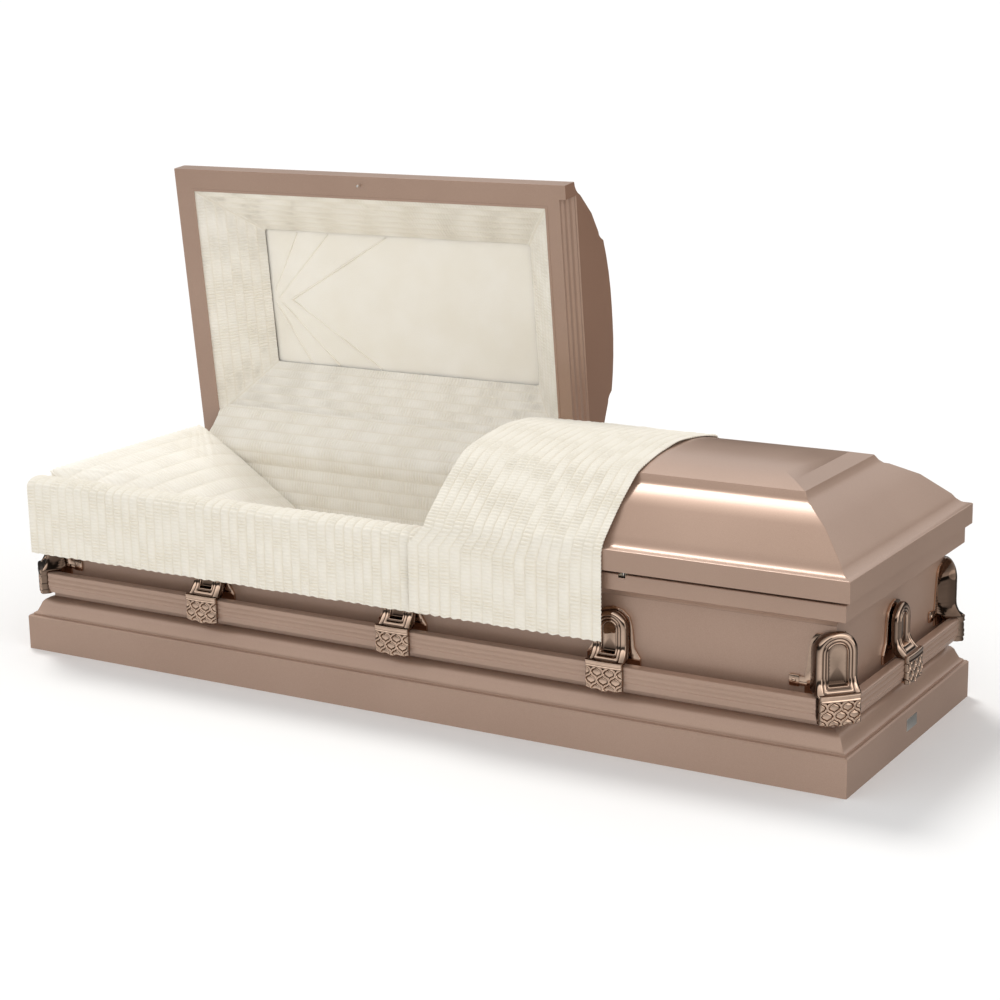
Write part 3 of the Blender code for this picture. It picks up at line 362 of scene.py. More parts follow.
def math_node(tree, operation, first, second):
    """Sum, product or the like of two sockets or numbers."""
    node = add_node(tree, "ShaderNodeMath", operation=operation)
    for socket, value in zip(node.inputs, (first, second)):
        if isinstance(value, (int, float)):
            socket.default_value = value
        else:
            tree.links.new(value, socket)
    return node.outputs[0]


def bump_node(tree, height, strength, distance, shader, before=None):
    """Bump from a height, led into the shader's normal."""
    node = add_node(tree, "ShaderNodeBump", Strength=strength, Distance=distance)
    tree.links.new(height, node.inputs["Height"])
    if before:
        tree.links.new(before.outputs["Normal"], node.inputs["Normal"])
    tree.links.new(node.outputs["Normal"], shader.inputs["Normal"])
    return node


def make_enamel(name, paint, paint_shade):
    """Rose-bronze metallic enamel: fine flakes, a faint cloudiness and a thin orange peel."""
    material, tree, shader = node_tree(name)
    place = add_node(tree, "ShaderNodeTexCoord").outputs["Object"]
    flakes = noise_node(tree, place, 900.0, 2.0)
    clouds = noise_node(tree, place, 2.4, 3.0)
    mixed = math_node(tree, "ADD", math_node(tree, "MULTIPLY", flakes.outputs["Fac"], 0.55),
                      math_node(tree, "MULTIPLY", clouds.outputs["Fac"], 0.45))
    tint = ramp_node(tree, mixed, 0.38, 0.62, paint_shade, paint)
    tree.links.new(tint.outputs["Color"], shader.inputs["Base Color"])
    gloss = ramp_node(tree, clouds.outputs["Fac"], 0.3, 0.7, (0.36,) * 3, (0.42,) * 3)
    tree.links.new(gloss.outputs["Color"], shader.inputs["Roughness"])
    peel = noise_node(tree, place, 260.0, 2.0)
    bump_node(tree, peel.outputs["Fac"], 0.05, 0.0006, shader)
    set_inputs(shader, Metallic=0.35, Coat_Weight=0.35, Coat_Roughness=0.16)
    return material


def make_plating(settings):
    """Polished rose-bronze plating with slight clouding and fine casting ripple."""
    material, tree, shader = node_tree("rose_bronze_plating")
    place = add_node(tree, "ShaderNodeTexCoord").outputs["Object"]
    clouds = noise_node(tree, place, 38.0, 3.0)
    dull = [value * 0.86 for value in settings.bronze]
    tint = ramp_node(tree, clouds.outputs["Fac"], 0.35, 0.65, dull, settings.bronze)
    # Dark lacquer in the hollows, and painted shade on the rounded outer edges of the castings
    lacquered_and_shaded = shaded_by(tree, "patina", 0.92, tint.outputs["Color"], settings.patina)
    tree.links.new(lacquered_and_shaded, shader.inputs["Base Color"])
    gloss = ramp_node(tree, clouds.outputs["Fac"], 0.3, 0.75, (0.045,) * 3, (0.10,) * 3)
    tree.links.new(gloss.outputs["Color"], shader.inputs["Roughness"])
    ripple = noise_node(tree, place, 120.0, 2.0)
    bump_node(tree, ripple.outputs["Fac"], 0.08, 0.0008, shader)
    shader.inputs["Metallic"].default_value = 1.0
    return material


def make_steel():
    """Satin bright steel of the hinges, pins and plate."""
    material, tree, shader = node_tree("satin_steel")
    place = add_node(tree, "ShaderNodeTexCoord").outputs["Object"]
    turned = add_node(tree, "ShaderNodeMapping")
    turned.inputs["Scale"].default_value = (12.0, 900.0, 900.0)
    tree.links.new(place, turned.inputs["Vector"])
    grain = noise_node(tree, turned.outputs["Vector"], 1.0, 3.0)
    tint = ramp_node(tree, grain.outputs["Fac"], 0.3, 0.7, (0.72, 0.69, 0.64), (0.90, 0.87, 0.82))
    tree.links.new(tint.outputs["Color"], shader.inputs["Base Color"])
    gloss = ramp_node(tree, grain.outputs["Fac"], 0.3, 0.7, (0.34,) * 3, (0.46,) * 3)
    tree.links.new(gloss.outputs["Color"], shader.inputs["Roughness"])
    bump_node(tree, grain.outputs["Fac"], 0.08, 0.0002, shader)
    shader.inputs["Metallic"].default_value = 1.0
    return material


def make_rubber():
    """Dull black rubber of the seal."""
    material, tree, shader = node_tree("seal_rubber")
    place = add_node(tree, "ShaderNodeTexCoord").outputs["Object"]
    dust = noise_node(tree, place, 140.0, 4.0)
    tint = ramp_node(tree, dust.outputs["Fac"], 0.4, 0.75, (0.012,) * 3, (0.03, 0.028, 0.026))
    tree.links.new(tint.outputs["Color"], shader.inputs["Base Color"])
    bump_node(tree, dust.outputs["Fac"], 0.2, 0.0003, shader)
    shader.inputs["Roughness"].default_value = 0.7
    return material


def shaded_by(tree, name, share, colour, dark):
    """A colour led towards a darker one by the piece's own attribute."""
    source = add_node(tree, "ShaderNodeAttribute", attribute_name=name, attribute_type="GEOMETRY")
    node = add_node(tree, "ShaderNodeMix", data_type="RGBA")
    tree.links.new(math_node(tree, "MULTIPLY", source.outputs["Fac"], share), node.inputs["Factor"])
    tree.links.new(colour, node.inputs[6])
    node.inputs[7].default_value = (*dark, 1.0)
    return node.outputs[2]


def make_cloth(name, colour, shade, hollow, sheen, roughness, crinkle, on_map):
    """Woven cloth at its real scale: fine threads both ways over soft crinkles."""
    material, tree, shader = node_tree(name)
    place = add_node(tree, "ShaderNodeTexCoord").outputs["UV" if on_map else "Object"]
    soft = noise_node(tree, place, 7.0, 3.0)
    fine = noise_node(tree, place, 420.0, 3.0, 0.65)
    mixed = math_node(tree, "ADD", math_node(tree, "MULTIPLY", soft.outputs["Fac"], 0.5),
                      math_node(tree, "MULTIPLY", fine.outputs["Fac"], 0.5))
    tint = ramp_node(tree, mixed, 0.34, 0.58, shade, colour)
    # Painted shade: the colour is darkened towards the fold-shade colour where the hollow attribute says a
    # point lies deep in a fold or seam
    deep = shaded_by(tree, "hollow", 0.55, tint.outputs["Color"], hollow)
    tree.links.new(deep, shader.inputs["Base Color"])
    crinkles = noise_node(tree, place, 230.0, 4.0, 0.6)
    threads = []
    for direction in ("X", "Y"):
        wave = add_node(tree, "ShaderNodeTexWave", wave_type="BANDS", bands_direction=direction)
        set_inputs(wave, Scale=380.0, Distortion=1.2, Detail=1.0)
        tree.links.new(place, wave.inputs["Vector"])
        threads.append(wave.outputs["Fac"])
    weave = math_node(tree, "MULTIPLY", threads[0], threads[1])
    first = bump_node(tree, crinkles.outputs["Fac"], crinkle, 0.0016, shader)
    bump_node(tree, weave, 0.25, 0.0003, shader, first)
    set_inputs(shader, Roughness=roughness, Sheen_Weight=sheen, Sheen_Roughness=0.4, Specular_IOR_Level=0.12)
    return material


def swing(points):
    """Carry points of the shut head lid to where it stands open."""
    turn = Matrix.Translation((0, HINGE_Y, HINGE_Z)) @ Matrix.Rotation(OPEN_TURN, 4, "X")
    turn = turn @ Matrix.Translation((0, -HINGE_Y, -HINGE_Z))
    rows = np.array(turn)
    return points @ rows[:3, :3].T + rows[:3, 3]


def cloth_mesh(name, sheets, flip):
    """Mesh from sheets, each a grid of points, its map in metres and how deep each point lies in a fold, kept
    as the attribute that paints shade into the cloth.
    """
    points, faces, maps, depths = [], [], [], []
    start = 0
    for grid, spots, hollow in sheets:
        rows, columns = grid.shape[:2]
        points.append(grid.reshape(-1, 3))
        maps.append(spots.reshape(-1, 2))
        depths.append(hollow.reshape(-1))
        index = start + np.arange(rows * columns).reshape(rows, columns)
        corners = [index[:-1, :-1], index[:-1, 1:], index[1:, 1:], index[1:, :-1]]
        if flip:
            corners.reverse()
        faces.append(np.stack(corners, axis=-1).reshape(-1, 4))
        start += rows * columns
    points = np.concatenate(points)
    faces = np.concatenate(faces)
    maps = np.concatenate(maps)
    mesh = bpy.data.meshes.new(name)
    mesh.from_pydata(points.tolist(), [], faces.tolist())
    layer = mesh.uv_layers.new(name="cloth")
    layer.uv.foreach_set("vector", maps[faces.reshape(-1)].astype(np.float32).reshape(-1))
    shade = mesh.attributes.new("hollow", "FLOAT", "POINT")
    shade.data.foreach_set("value", np.concatenate(depths).astype(np.float32))
    piece = bpy.data.objects.new(name, mesh)
    bpy.context.scene.collection.objects.link(piece)
    return piece


def normals_of(grid):
    """Direction square to a grid of points at each point."""
    along = np.gradient(grid, axis=1)
    across = np.gradient(grid, axis=0)
    square = np.cross(along, across)
    return square / np.maximum(np.linalg.norm(square, axis=2, keepdims=True), 1e-9)


def gathers(along, across, pitch, stitch, puff, height, seed):
    """Height of shirred crepe, puffs between stitch rows with short ripples, and each point's depth in a
    fold, used for painted shade.
    """
    row = across / stitch
    index = np.floor(row)
    inside = row - index
    rise = np.clip(np.sin(np.pi * inside), 0.0, 1.0) ** 0.55
    shift = np.modf(np.abs(np.sin(index * 12.9898 + seed) * 43758.5453))[0]
    wander = 0.30 * np.sin(2 * np.pi * (along / 0.083 + shift * 3.1))
    wander += 0.22 * np.sin(2 * np.pi * (along / 0.037 + shift * 7.3 + row * 0.11))
    ripple = np.sin(2 * np.pi * (along / pitch + shift) + 2.4 * wander)
    strength = 0.72 + 0.28 * np.sin(2 * np.pi * (along / 0.117 + shift * 5.7))
    lean = 0.25 * np.sin(2 * np.pi * (along / 0.29 + row * 0.07 + seed))
    raised = puff * (rise + lean * rise) + height * (0.25 + 0.75 * rise) * ripple * strength
    # Painted shade: deeper in a ripple's trough and near the stitch rows, the crepe is painted darker
    hollow = 0.42 * (1 - ripple) * strength * (0.25 + 0.75 * rise) + 0.75 * (1 - rise) ** 2
    return raised, np.clip(hollow, 0.0, 1.0)


# Where the columns of points lie in one gathered row: close together beside the stitches
ROW_COLUMNS = (0.0, 0.09, 0.28, 0.5, 0.72, 0.91)


def row_places(span, stitch):
    """Distances of the columns of points over a width of gathered rows."""
    rows = np.arange(int(math.ceil(span / stitch)) + 1)
    places = ((rows[:, None] + np.array(ROW_COLUMNS)[None, :]) * stitch).reshape(-1)
    places = places[places < span - 0.0006]
    return np.append(places, span)


def path_at(path, at):
    """Points at given distances along a bent line."""
    path = np.array(path, float)
    lengths = np.concatenate(([0.0], np.cumsum(np.linalg.norm(np.diff(path, axis=0), axis=1))))
    return np.stack([np.interp(at, lengths, path[:, i]) for i in range(path.shape[1])], axis=1)


def path_length(path):
    """Length of a bent line."""
    return float(np.linalg.norm(np.diff(np.array(path, float), axis=0), axis=1).sum())


def path_points(path, step):
    """Points spaced evenly along a bent line, and each point's distance from the start."""
    length = path_length(path)
    count = max(int(round(length / step)), 2) + 1
    at = np.linspace(0.0, length, count)
    return path_at(path, at), at


def rounded_path(path, reach, steps):
    """A bent line with its corners rounded."""
    path = [np.array(point, float) for point in path]
    points = [path[0]]
    for before, corner, after in zip(path, path[1:], path[2:]):
        back = before - corner
        ahead = after - corner
        near = min(reach, np.linalg.norm(back) / 2.1, np.linalg.norm(ahead) / 2.1)
        start = corner + back / np.linalg.norm(back) * near
        end = corner + ahead / np.linalg.norm(ahead) * near
        for i in range(steps + 1):
            share = i / steps
            points.append(start * (1 - share) ** 2 + corner * 2 * share * (1 - share) + end * share ** 2)
    points.append(path[-1])
    return points


def swept(line, count):
    """Grid of points whose rows keep the (y, z) of a line, with X still to be set."""
    grid = np.zeros((len(line), count, 3))
    grid[:, :, 1:] = line[:, None, :]
    return grid


def hang_skirt(path, low_x, high_x, cloth, seed, edge_shift=None):
    """Crepe led over a path of (y, z) and along X, with its stitch rows running down it."""
    line, length = path_points(path, cloth.ripple_pitch / 4.2)
    share = row_places(high_x - low_x, cloth.stitch_pitch) / (high_x - low_x)
    grid = swept(line, len(share))
    start = low_x + (edge_shift(line) if edge_shift else np.zeros(len(line)))
    grid[:, :, 0] = start[:, None] + (high_x - start)[:, None] * share[None, :]
    along = np.repeat(length[:, None], len(share), axis=1)
    across = np.repeat(share[None, :] * (high_x - low_x), len(line), axis=0)
    raised, hollow = gathers(along, across, cloth.ripple_pitch, cloth.stitch_pitch,
                             cloth.puff, cloth.ripple_height, seed)
    grid = grid + normals_of(grid) * raised[:, :, None]
    spots = np.stack([across, along], axis=2)
    return grid, spots, hollow, length


# Width and depth of the pull along a mitre seam
SEAM_WIDTH = 0.012
SEAM_DEPTH = 0.0030


def mitred_cloth(rect, section, stitch, cloth, seed, lift, bulge=0.0):
    """Four gathered borders with mitred corners.

    The section lists (inset, height) from the outer edge in. lift has the shares of the full puff and ripple.
    """
    puff_share, ripple_share = lift
    length = row_places(path_length(section), stitch)
    line = path_at(section, length)
    x_low, x_high, y_low, y_high = rect
    sheets = []
    corners = ((x_low, y_low), (x_high, y_low), (x_high, y_high), (x_low, y_high))
    for side in range(4):
        first = np.array(corners[side])
        last = np.array(corners[(side + 1) % 4])
        span = np.linalg.norm(last - first)
        forward = (last - first) / span
        inward = np.array((-forward[1], forward[0]))
        count = int(round(span / (cloth.ripple_pitch / 3.5))) + 1
        share = np.linspace(0.0, 1.0, count)
        inset = line[:, 0]
        start = inset[:, None]
        along = start + (span - 2 * inset)[:, None] * share[None, :]
        grid = np.zeros((len(line), count, 3))
        for axis in (0, 1):
            grid[:, :, axis] = first[axis] + along * forward[axis] + inset[:, None] * inward[axis]
        grid[:, :, 2] = line[:, 1:2]
        across = np.repeat(length[:, None], count, axis=1)
        raised, hollow = gathers(along, across, cloth.ripple_pitch, stitch, cloth.puff * puff_share,
                                 cloth.ripple_height * ripple_share, seed + side)
        raised = raised + bulge * np.clip(np.sin(np.pi * across / length[-1]), 0.0, 1.0) ** 0.7
        seam = np.minimum(along - inset[:, None], span - inset[:, None] - along)
        fall = np.clip(seam / SEAM_WIDTH, 0.0, 1.0) ** 0.5
        tight = np.exp(-(seam / (0.3 * SEAM_WIDTH)) ** 2)
        grid = grid + normals_of(grid) * (raised * fall - SEAM_DEPTH * tight)[:, :, None]
        # Painted shade: the crepe is painted darker along the pull of each mitre seam
        sheets.append((grid, np.stack([along, across], axis=2), np.maximum(hollow, tight)))
    return sheets


# Painted shade: how much darker the enamel on the lid's inner end wall is than the rest, for the shade that
# falls there
END_WALL_SHADE = (0.82, 0.70, 0.62)


class CASKET_OT_finishes(Operator):
    """Make the enamel, plating, steel, rubber, crepe and satin"""

    bl_idname = "casket.finishes"
    bl_label = "Finishes"

    def execute(self, context):
        settings = context.scene.casket
        cloth = settings.cloth
        steel = settings.steel
        make_enamel("rose_bronze_enamel", steel.paint, steel.paint_shade)
        # Painted shade: a darker copy of the enamel for the head lid's inner end wall
        make_enamel("end_wall_enamel", [a * b for a, b in zip(steel.paint, END_WALL_SHADE)],
                    [a * b for a, b in zip(steel.paint_shade, END_WALL_SHADE)])
        make_plating(settings.fittings)
        make_steel()
        make_rubber()
        # Painted light: the inner and pillow crepe are a paler copy of the outer crepe; all three cloths
        # darken towards the fold-shade colour as painted shade
        crepe = (cloth.crepe, cloth.crepe_shade, cloth.crepe_hollow, 0.07, 0.85, 0.35)
        inner = (cloth.crepe_inside, cloth.crepe, cloth.crepe_hollow, 0.07, 0.85, 0.35)
        satin = (cloth.satin, cloth.crepe_inside, cloth.crepe_hollow, 0.10, 0.5, 0.10)
        make_cloth("shirred_crepe", *crepe, True)
        make_cloth("shirred_crepe_inside", *inner, True)
        make_cloth("padded_crepe", *inner, False)
        make_cloth("lining_satin", *satin, True)
        make_cloth("padded_satin", *satin, False)
        return {"FINISHED"}


def press_steel(node, name, settings, hips):
    """Painted pressing from a CAD shell: folded corners get a radius and curved mouldings shade smooth."""
    piece = merged_copy(node, name)
    enter_edit(piece, "EDGE")

    def is_corner(edge):
        if len(edge.link_faces) != 2:
            return False
        lean = edge.verts[1].co - edge.verts[0].co
        flat = math.hypot(lean.x, lean.y)
        uneven = abs(abs(lean.x) - abs(lean.y))
        on_mitre = uneven < 0.05 * flat + 1e-6
        middle = (edge.verts[0].co + edge.verts[1].co) / 2
        outside = sum(edge.link_faces[i].normal.dot(Vector((middle.x, middle.y, 0))) for i in (0, 1)) > 0
        return on_mitre and outside and edge.calc_face_angle(0) > math.radians(20) and lean.length > 0.0015

    if hips and pick(piece, "edges", is_corner):
        bpy.ops.mesh.bevel(offset=settings.fold_radius, segments=3, clamp_overlap=True)
    leave_edit()
    add_step(piece, "BEVEL", "fold", width=0.0004, segments=2, limit_method="ANGLE",
             angle_limit=math.radians(40), harden_normals=False)
    smooth(piece, 32)
    add_step(piece, "WEIGHTED_NORMAL", "even light", weight=60, keep_sharp=True)
    dress(piece, bpy.data.materials["rose_bronze_enamel"])
    stands_for(piece, node)
    return piece


# How near the lid's end a face has to lie to be on its end wall
END_WALL_DEPTH = 0.0012


class CASKET_OT_steel(Operator):
    """Press the base, walls, rim, lids and bars and paint them"""

    bl_idname = "casket.steel"
    bl_label = "Painted Steel"

    def execute(self, context):
        settings = context.scene.casket.steel
        press_steel("casket_base", "base_pressing", settings, True)
        press_steel("casket_walls", "wall_pressing", settings, True)
        press_steel("casket_rim", "rim_pressing", settings, True)
        head_lid = press_steel("head_lid", "head_lid_pressing", settings, False)
        # The end wall's faces take the darker enamel, painted shade
        head_lid.data.materials.append(bpy.data.materials["end_wall_enamel"])
        for face in head_lid.data.polygons:
            if face.normal.x > 0.97 and abs(face.center.x - HEAD_LID_END) < END_WALL_DEPTH:
                face.material_index = 1
        press_steel("foot_lid", "foot_lid_pressing", settings, True)
        for side in ("front", "rear", "head_end", "foot_end"):
            press_steel(f"{side}_bar", f"{side}_bar_section", settings, False)
        return {"FINISHED"}


# Sizes of the castings, as the CAD has them
ARM_FOOT = BAR_HIGH.z + 0.0006
ARM_FLARE = 0.004
FLARE_START = 0.236
SIDE_NECK = 0.027
CORNER_NECK = 0.014
BLOCK_HALF = 0.043
BLOCK_TOP = ARM_FOOT + 0.0065
BLOCK_TIP = 0.007
BLOCK_LOW = BAR_LOW.z - 0.0021
SIDE_BACK = 0.0066
SIDE_REACH = WALL_LOW.y - SIDE_ARM_LOW.y - 0.0022
CORNER_REACH = 0.032
BAR_REACH = WALL_LOW.y - BAR_LOW.y + 0.0003


def shield_ring(half_width, top, inset):
    """Points round a shield drawn in by an inset: flared foot, upright sides and a round arch, as (x, z)."""
    width = half_width - inset
    crest = top - inset
    deep = max(inset - 0.008, 0.0)
    foot = ARM_FOOT + deep * 1.25
    flare = ARM_FLARE * max(1.0 - deep / 0.010, 0.0)
    arch = width * 0.90
    left = []
    for i in range(7):
        share = i / 6
        left.append((-width - flare * (1 - share) ** 2, foot + (FLARE_START - foot) * share))
    for i in range(1, 6):
        left.append((-width, FLARE_START + (crest - arch - FLARE_START) * i / 5))
    crown = []
    for i in range(1, 14):
        angle = math.pi - math.pi * i / 14
        crown.append((width * math.cos(angle), crest - arch + arch * math.sin(angle)))
    right = [(-x, z) for x, z in reversed(left)]
    sill = [(right[-1][0] * (1 - i / 4), foot) for i in range(1, 8)]
    return left + crown + right + sill


# Steps of a shield's face as (inset, sink, lacquer and shade): rounded edge, two ribs between grooves, the
# sunk panel. The darkening is dark lacquer in the grooves and painted shade on the rounded outer edge
SHIELD_STEPS = (
    (0.0, 0.0085, 0.95), (0.0010, 0.0050, 0.80), (0.0032, 0.0022, 0.35), (0.0062, 0.0005, 0.0),
    (0.0088, 0.0, 0.0), (0.0118, 0.0, 0.10), (0.0127, 0.0021, 0.90), (0.0141, 0.0021, 0.90),
    (0.0150, 0.0002, 0.10), (0.0180, 0.0002, 0.0), (0.0190, 0.0026, 0.90), (0.0208, 0.0026, 0.90),
    (0.0219, 0.0006, 0.05), (0.0232, 0.0006, 0.10), (0.0243, 0.0050, 0.95), (0.0262, 0.0054, 0.15),
)

# Inset where the sunk panel starts, and how high the dark lacquer pools at its foot
SUNK_FROM = 0.024
POOL_HEIGHT = 0.012


def face_reach(z, neck, block):
    """How far out an arm's face stands at a height: upright above, flaring to the block below."""
    share = min(max((FLARE_START - z) / (FLARE_START - ARM_FOOT), 0.0), 1.0)
    return neck + (block - neck) * share ** 2


def model_shield(name, half_width, top, neck, block, corner):
    """Cast shield: its outline extruded step by step to the rounded edge, the ribs and the sunk panel."""
    outline = shield_ring(half_width, top, 0.0)
    bpy.ops.mesh.primitive_circle_add(vertices=len(outline), radius=0.05, fill_type="NOTHING")
    piece = bpy.context.object
    piece.name = name
    patina = piece.data.attributes.new("patina", "FLOAT", "POINT")
    for vert, (x, z) in zip(piece.data.vertices, outline):
        back = -(abs(x) + 0.0069) if corner else SIDE_BACK
        vert.co = (x, -back, z)
        patina.data[vert.index].value = SHIELD_STEPS[0][2]
    enter_edit(piece, "EDGE")
    bpy.ops.mesh.select_all(action="SELECT")
    bpy.ops.mesh.edge_face_add()
    bpy.ops.mesh.select_all(action="SELECT")
    for inset, sink, step_lacquer_and_shade in SHIELD_STEPS:
        bpy.ops.mesh.extrude_region()
        mesh = bmesh.from_edit_mesh(piece.data)
        chosen = [face for face in mesh.faces if face.select][0]
        ring = shield_ring(half_width, top, inset)
        shade = mesh.verts.layers.float["patina"]
        start = min(range(len(chosen.verts)), key=lambda i: (
            chosen.verts[i].co.x - outline[0][0]) ** 2 + (chosen.verts[i].co.z - outline[0][1]) ** 2)
        after = chosen.verts[(start + 1) % len(ring)].co
        ahead = (after.x - outline[1][0]) ** 2 + (after.z - outline[1][1]) ** 2
        behind = (after.x - outline[-1][0]) ** 2 + (after.z - outline[-1][1]) ** 2
        turn = 1 if ahead < behind else -1
        for i, (x, z) in enumerate(ring):
            vert = chosen.verts[(start + turn * i) % len(ring)]
            flare = face_reach(z, neck, block) if inset < SUNK_FROM else neck
            vert.co = (x, -(flare - sink), z)
            pool = math.exp(-((z - ring[0][1]) / POOL_HEIGHT) ** 2) if inset > SUNK_FROM else 0.0
            # Dark lacquer in the grooves and at the sunk panel's foot, painted shade on the outer edge
            vert[shade] = max(step_lacquer_and_shade, pool)
        bmesh.update_edit_mesh(piece.data)
        outline = ring
    bpy.ops.mesh.select_all(action="SELECT")
    bpy.ops.mesh.normals_make_consistent(inside=False)
    leave_edit()
    add_step(piece, "SUBSURF", "cast form", levels=1, render_levels=1)
    return piece


# Size of a lattice cell, how far its sides curve, where the collar starts and the width of a block's stem
LATTICE_WIDE, LATTICE_HIGH = 0.0285, 0.0345
CELL_BEND = 0.07
COLLAR_LOW = 0.1895
STEM_HALF = 0.030


def lattice_height(x, z, strand):
    """Relief of the lattice block, crossing bands between grooves over pillowed cells, and its grooves."""
    first = x / LATTICE_WIDE + (z - BLOCK_LOW) / LATTICE_HIGH
    second = x / LATTICE_WIDE - (z - BLOCK_LOW) / LATTICE_HIGH
    first, second = (
        first + CELL_BEND * math.sin(2 * math.pi * second),
        second + CELL_BEND * math.sin(2 * math.pi * first),
    )
    spacing = LATTICE_WIDE * LATTICE_HIGH / math.hypot(LATTICE_WIDE, LATTICE_HIGH)
    bands, grooves = [], []
    for value in (first, second):
        off = abs(value - round(value)) * spacing
        bands.append(min(max((0.0027 - off) / 0.0009, 0.0), 1.0))
        grooves.append(math.exp(-((off - 0.0032) / 0.0008) ** 2))
    groove = max(grooves[0] * (1 - bands[1]), grooves[1] * (1 - bands[0]))
    inside = abs(math.sin(math.pi * first) * math.sin(math.pi * second))
    return strand * (max(bands) - groove + 0.55 * inside * (1 - max(bands))), groove


def collar_height(z):
    """Smooth collar above the lattice: a bead at its foot and a hollow that flares to the top."""
    share = (z - COLLAR_LOW) / (BLOCK_TOP - COLLAR_LOW)
    bead = 0.0016 * math.exp(-((share - 0.12) / 0.12) ** 2)
    return 0.0014 + bead + 0.0020 * max(share, 0.0) ** 2


def model_block(name, settings, reach, back):
    """Lattice block: a fine grid with crossing strands in front, closed by its sides and back."""
    bpy.ops.mesh.primitive_grid_add(
        x_subdivisions=settings.lattice_columns, y_subdivisions=settings.lattice_rows, size=1.0
    )
    piece = bpy.context.object
    piece.name = name
    patina = piece.data.attributes.new("patina", "FLOAT", "POINT")
    for vert in piece.data.vertices:
        side, rise = vert.co.x * 2, vert.co.y + 0.5
        x = BLOCK_HALF * side
        scale = abs(math.sin(math.pi * (x / LATTICE_WIDE + 0.5)))
        low = BLOCK_LOW - BLOCK_TIP * (0.35 + 0.65 * scale) * (1 - 0.55 * abs(side))
        z = low + (BLOCK_TOP - low) * rise
        edge = min(1 - abs(side), rise * 1.3, (1 - rise) * 1.3)
        fade = min(max(edge / 0.06, 0.0), 1.0)
        crown = 0.0022 * (1 - side ** 2)
        relief, groove = lattice_height(x, z, settings.strand_height)
        relief *= fade
        if z > COLLAR_LOW:
            relief = collar_height(z) * min(fade * 2, 1.0)
            groove = 0.8 * math.exp(-((z - COLLAR_LOW) / 0.0012) ** 2)
        # Dark lacquer in the lattice grooves, and painted shade along the block's edges
        patina.data[vert.index].value = max(groove, 0.7 * (1 - fade))
        raised = crown + relief - 0.0016 * (1 - fade)
        vert.co = (x, -reach - raised + 0.0015, z)
    enter_edit(piece, "EDGE")
    pick(piece, "edges", lambda edge: len(edge.link_faces) == 1)
    bpy.ops.mesh.extrude_edges_move()
    for vert in bmesh.from_edit_mesh(piece.data).verts:
        if vert.select:
            vert.co.y = -back
    bmesh.update_edit_mesh(piece.data)
    if back < reach - 0.012:
        for vert in bmesh.from_edit_mesh(piece.data).verts:
            if vert.select:
                vert.co.y = -0.013
        bpy.ops.mesh.extrude_edges_move()
        for vert in bmesh.from_edit_mesh(piece.data).verts:
            if vert.select:
                vert.co.y = -back
                vert.co.x *= STEM_HALF / BLOCK_HALF
        bmesh.update_edit_mesh(piece.data)
    bpy.ops.mesh.edge_face_add()
    bpy.ops.mesh.select_all(action="SELECT")
    bpy.ops.mesh.normals_make_consistent(inside=False)
    leave_edit()
    return piece


# Distance of an ear from the corner, and its height
EAR_PLACE = 0.085
EAR_HEIGHT = 0.2125


def model_ear(name, side):
    """Small square ear on the wall beside a corner arm, with its screw."""
    turn = Matrix.Rotation(math.radians(45 * side), 4, "Z")
    parts = []
    for label, place, size in (
        ("plate", (side * EAR_PLACE, -0.0030, EAR_HEIGHT), (0.022, 0.005, 0.024)),
        ("tab", (side * (EAR_PLACE - 0.018), -0.0030, EAR_HEIGHT - 0.004), (0.020, 0.004, 0.010)),
    ):
        bpy.ops.mesh.primitive_cube_add(size=1.0, location=place, scale=size)
        part = bpy.context.object
        part.name = f"{name}_{label}"
        settle(part)
        soften(part, 0.0012)
        parts.append(part)
    bpy.ops.mesh.primitive_uv_sphere_add(segments=16, ring_count=8, radius=0.0052,
                                         location=(side * EAR_PLACE, -0.0050, EAR_HEIGHT), scale=(1, 0.55, 1))
    parts.append(bpy.context.object)
    settle(parts[-1])
    piece = join(name, parts)
    piece.data.transform(turn)
    return piece


def model_strap(name, reach):
    """Flat strap that passes under the bar behind the block."""
    bpy.ops.mesh.primitive_cube_add(size=1.0, location=(0, -reach / 2 - 0.016, BAR_LOW.z - 0.0023),
                                    scale=(0.064, reach - 0.032, 0.0040))
    piece = bpy.context.object
    piece.name = name
    settle(piece)
    soften(piece, 0.001)
    return piece


def join(name, pieces):
    """Join pieces into one."""
    deselect_all()
    for piece in pieces:
        piece.select_set(True)
    bpy.context.view_layer.objects.active = pieces[0]
    bpy.ops.object.join()
    pieces[0].name = name
    pieces[0].data.name = name
    return pieces[0]


def placed_copy(source, name, at, degrees):
    """Copy with its own mesh, turned about Z and moved, its place kept in its mesh."""
    piece = bpy.data.objects.new(name, source.data.copy())
    bpy.context.scene.collection.objects.link(piece)
    turn = Matrix.Translation((at[0], at[1], 0)) @ Matrix.Rotation(math.radians(degrees), 4, "Z")
    piece.data.transform(turn)
    return piece


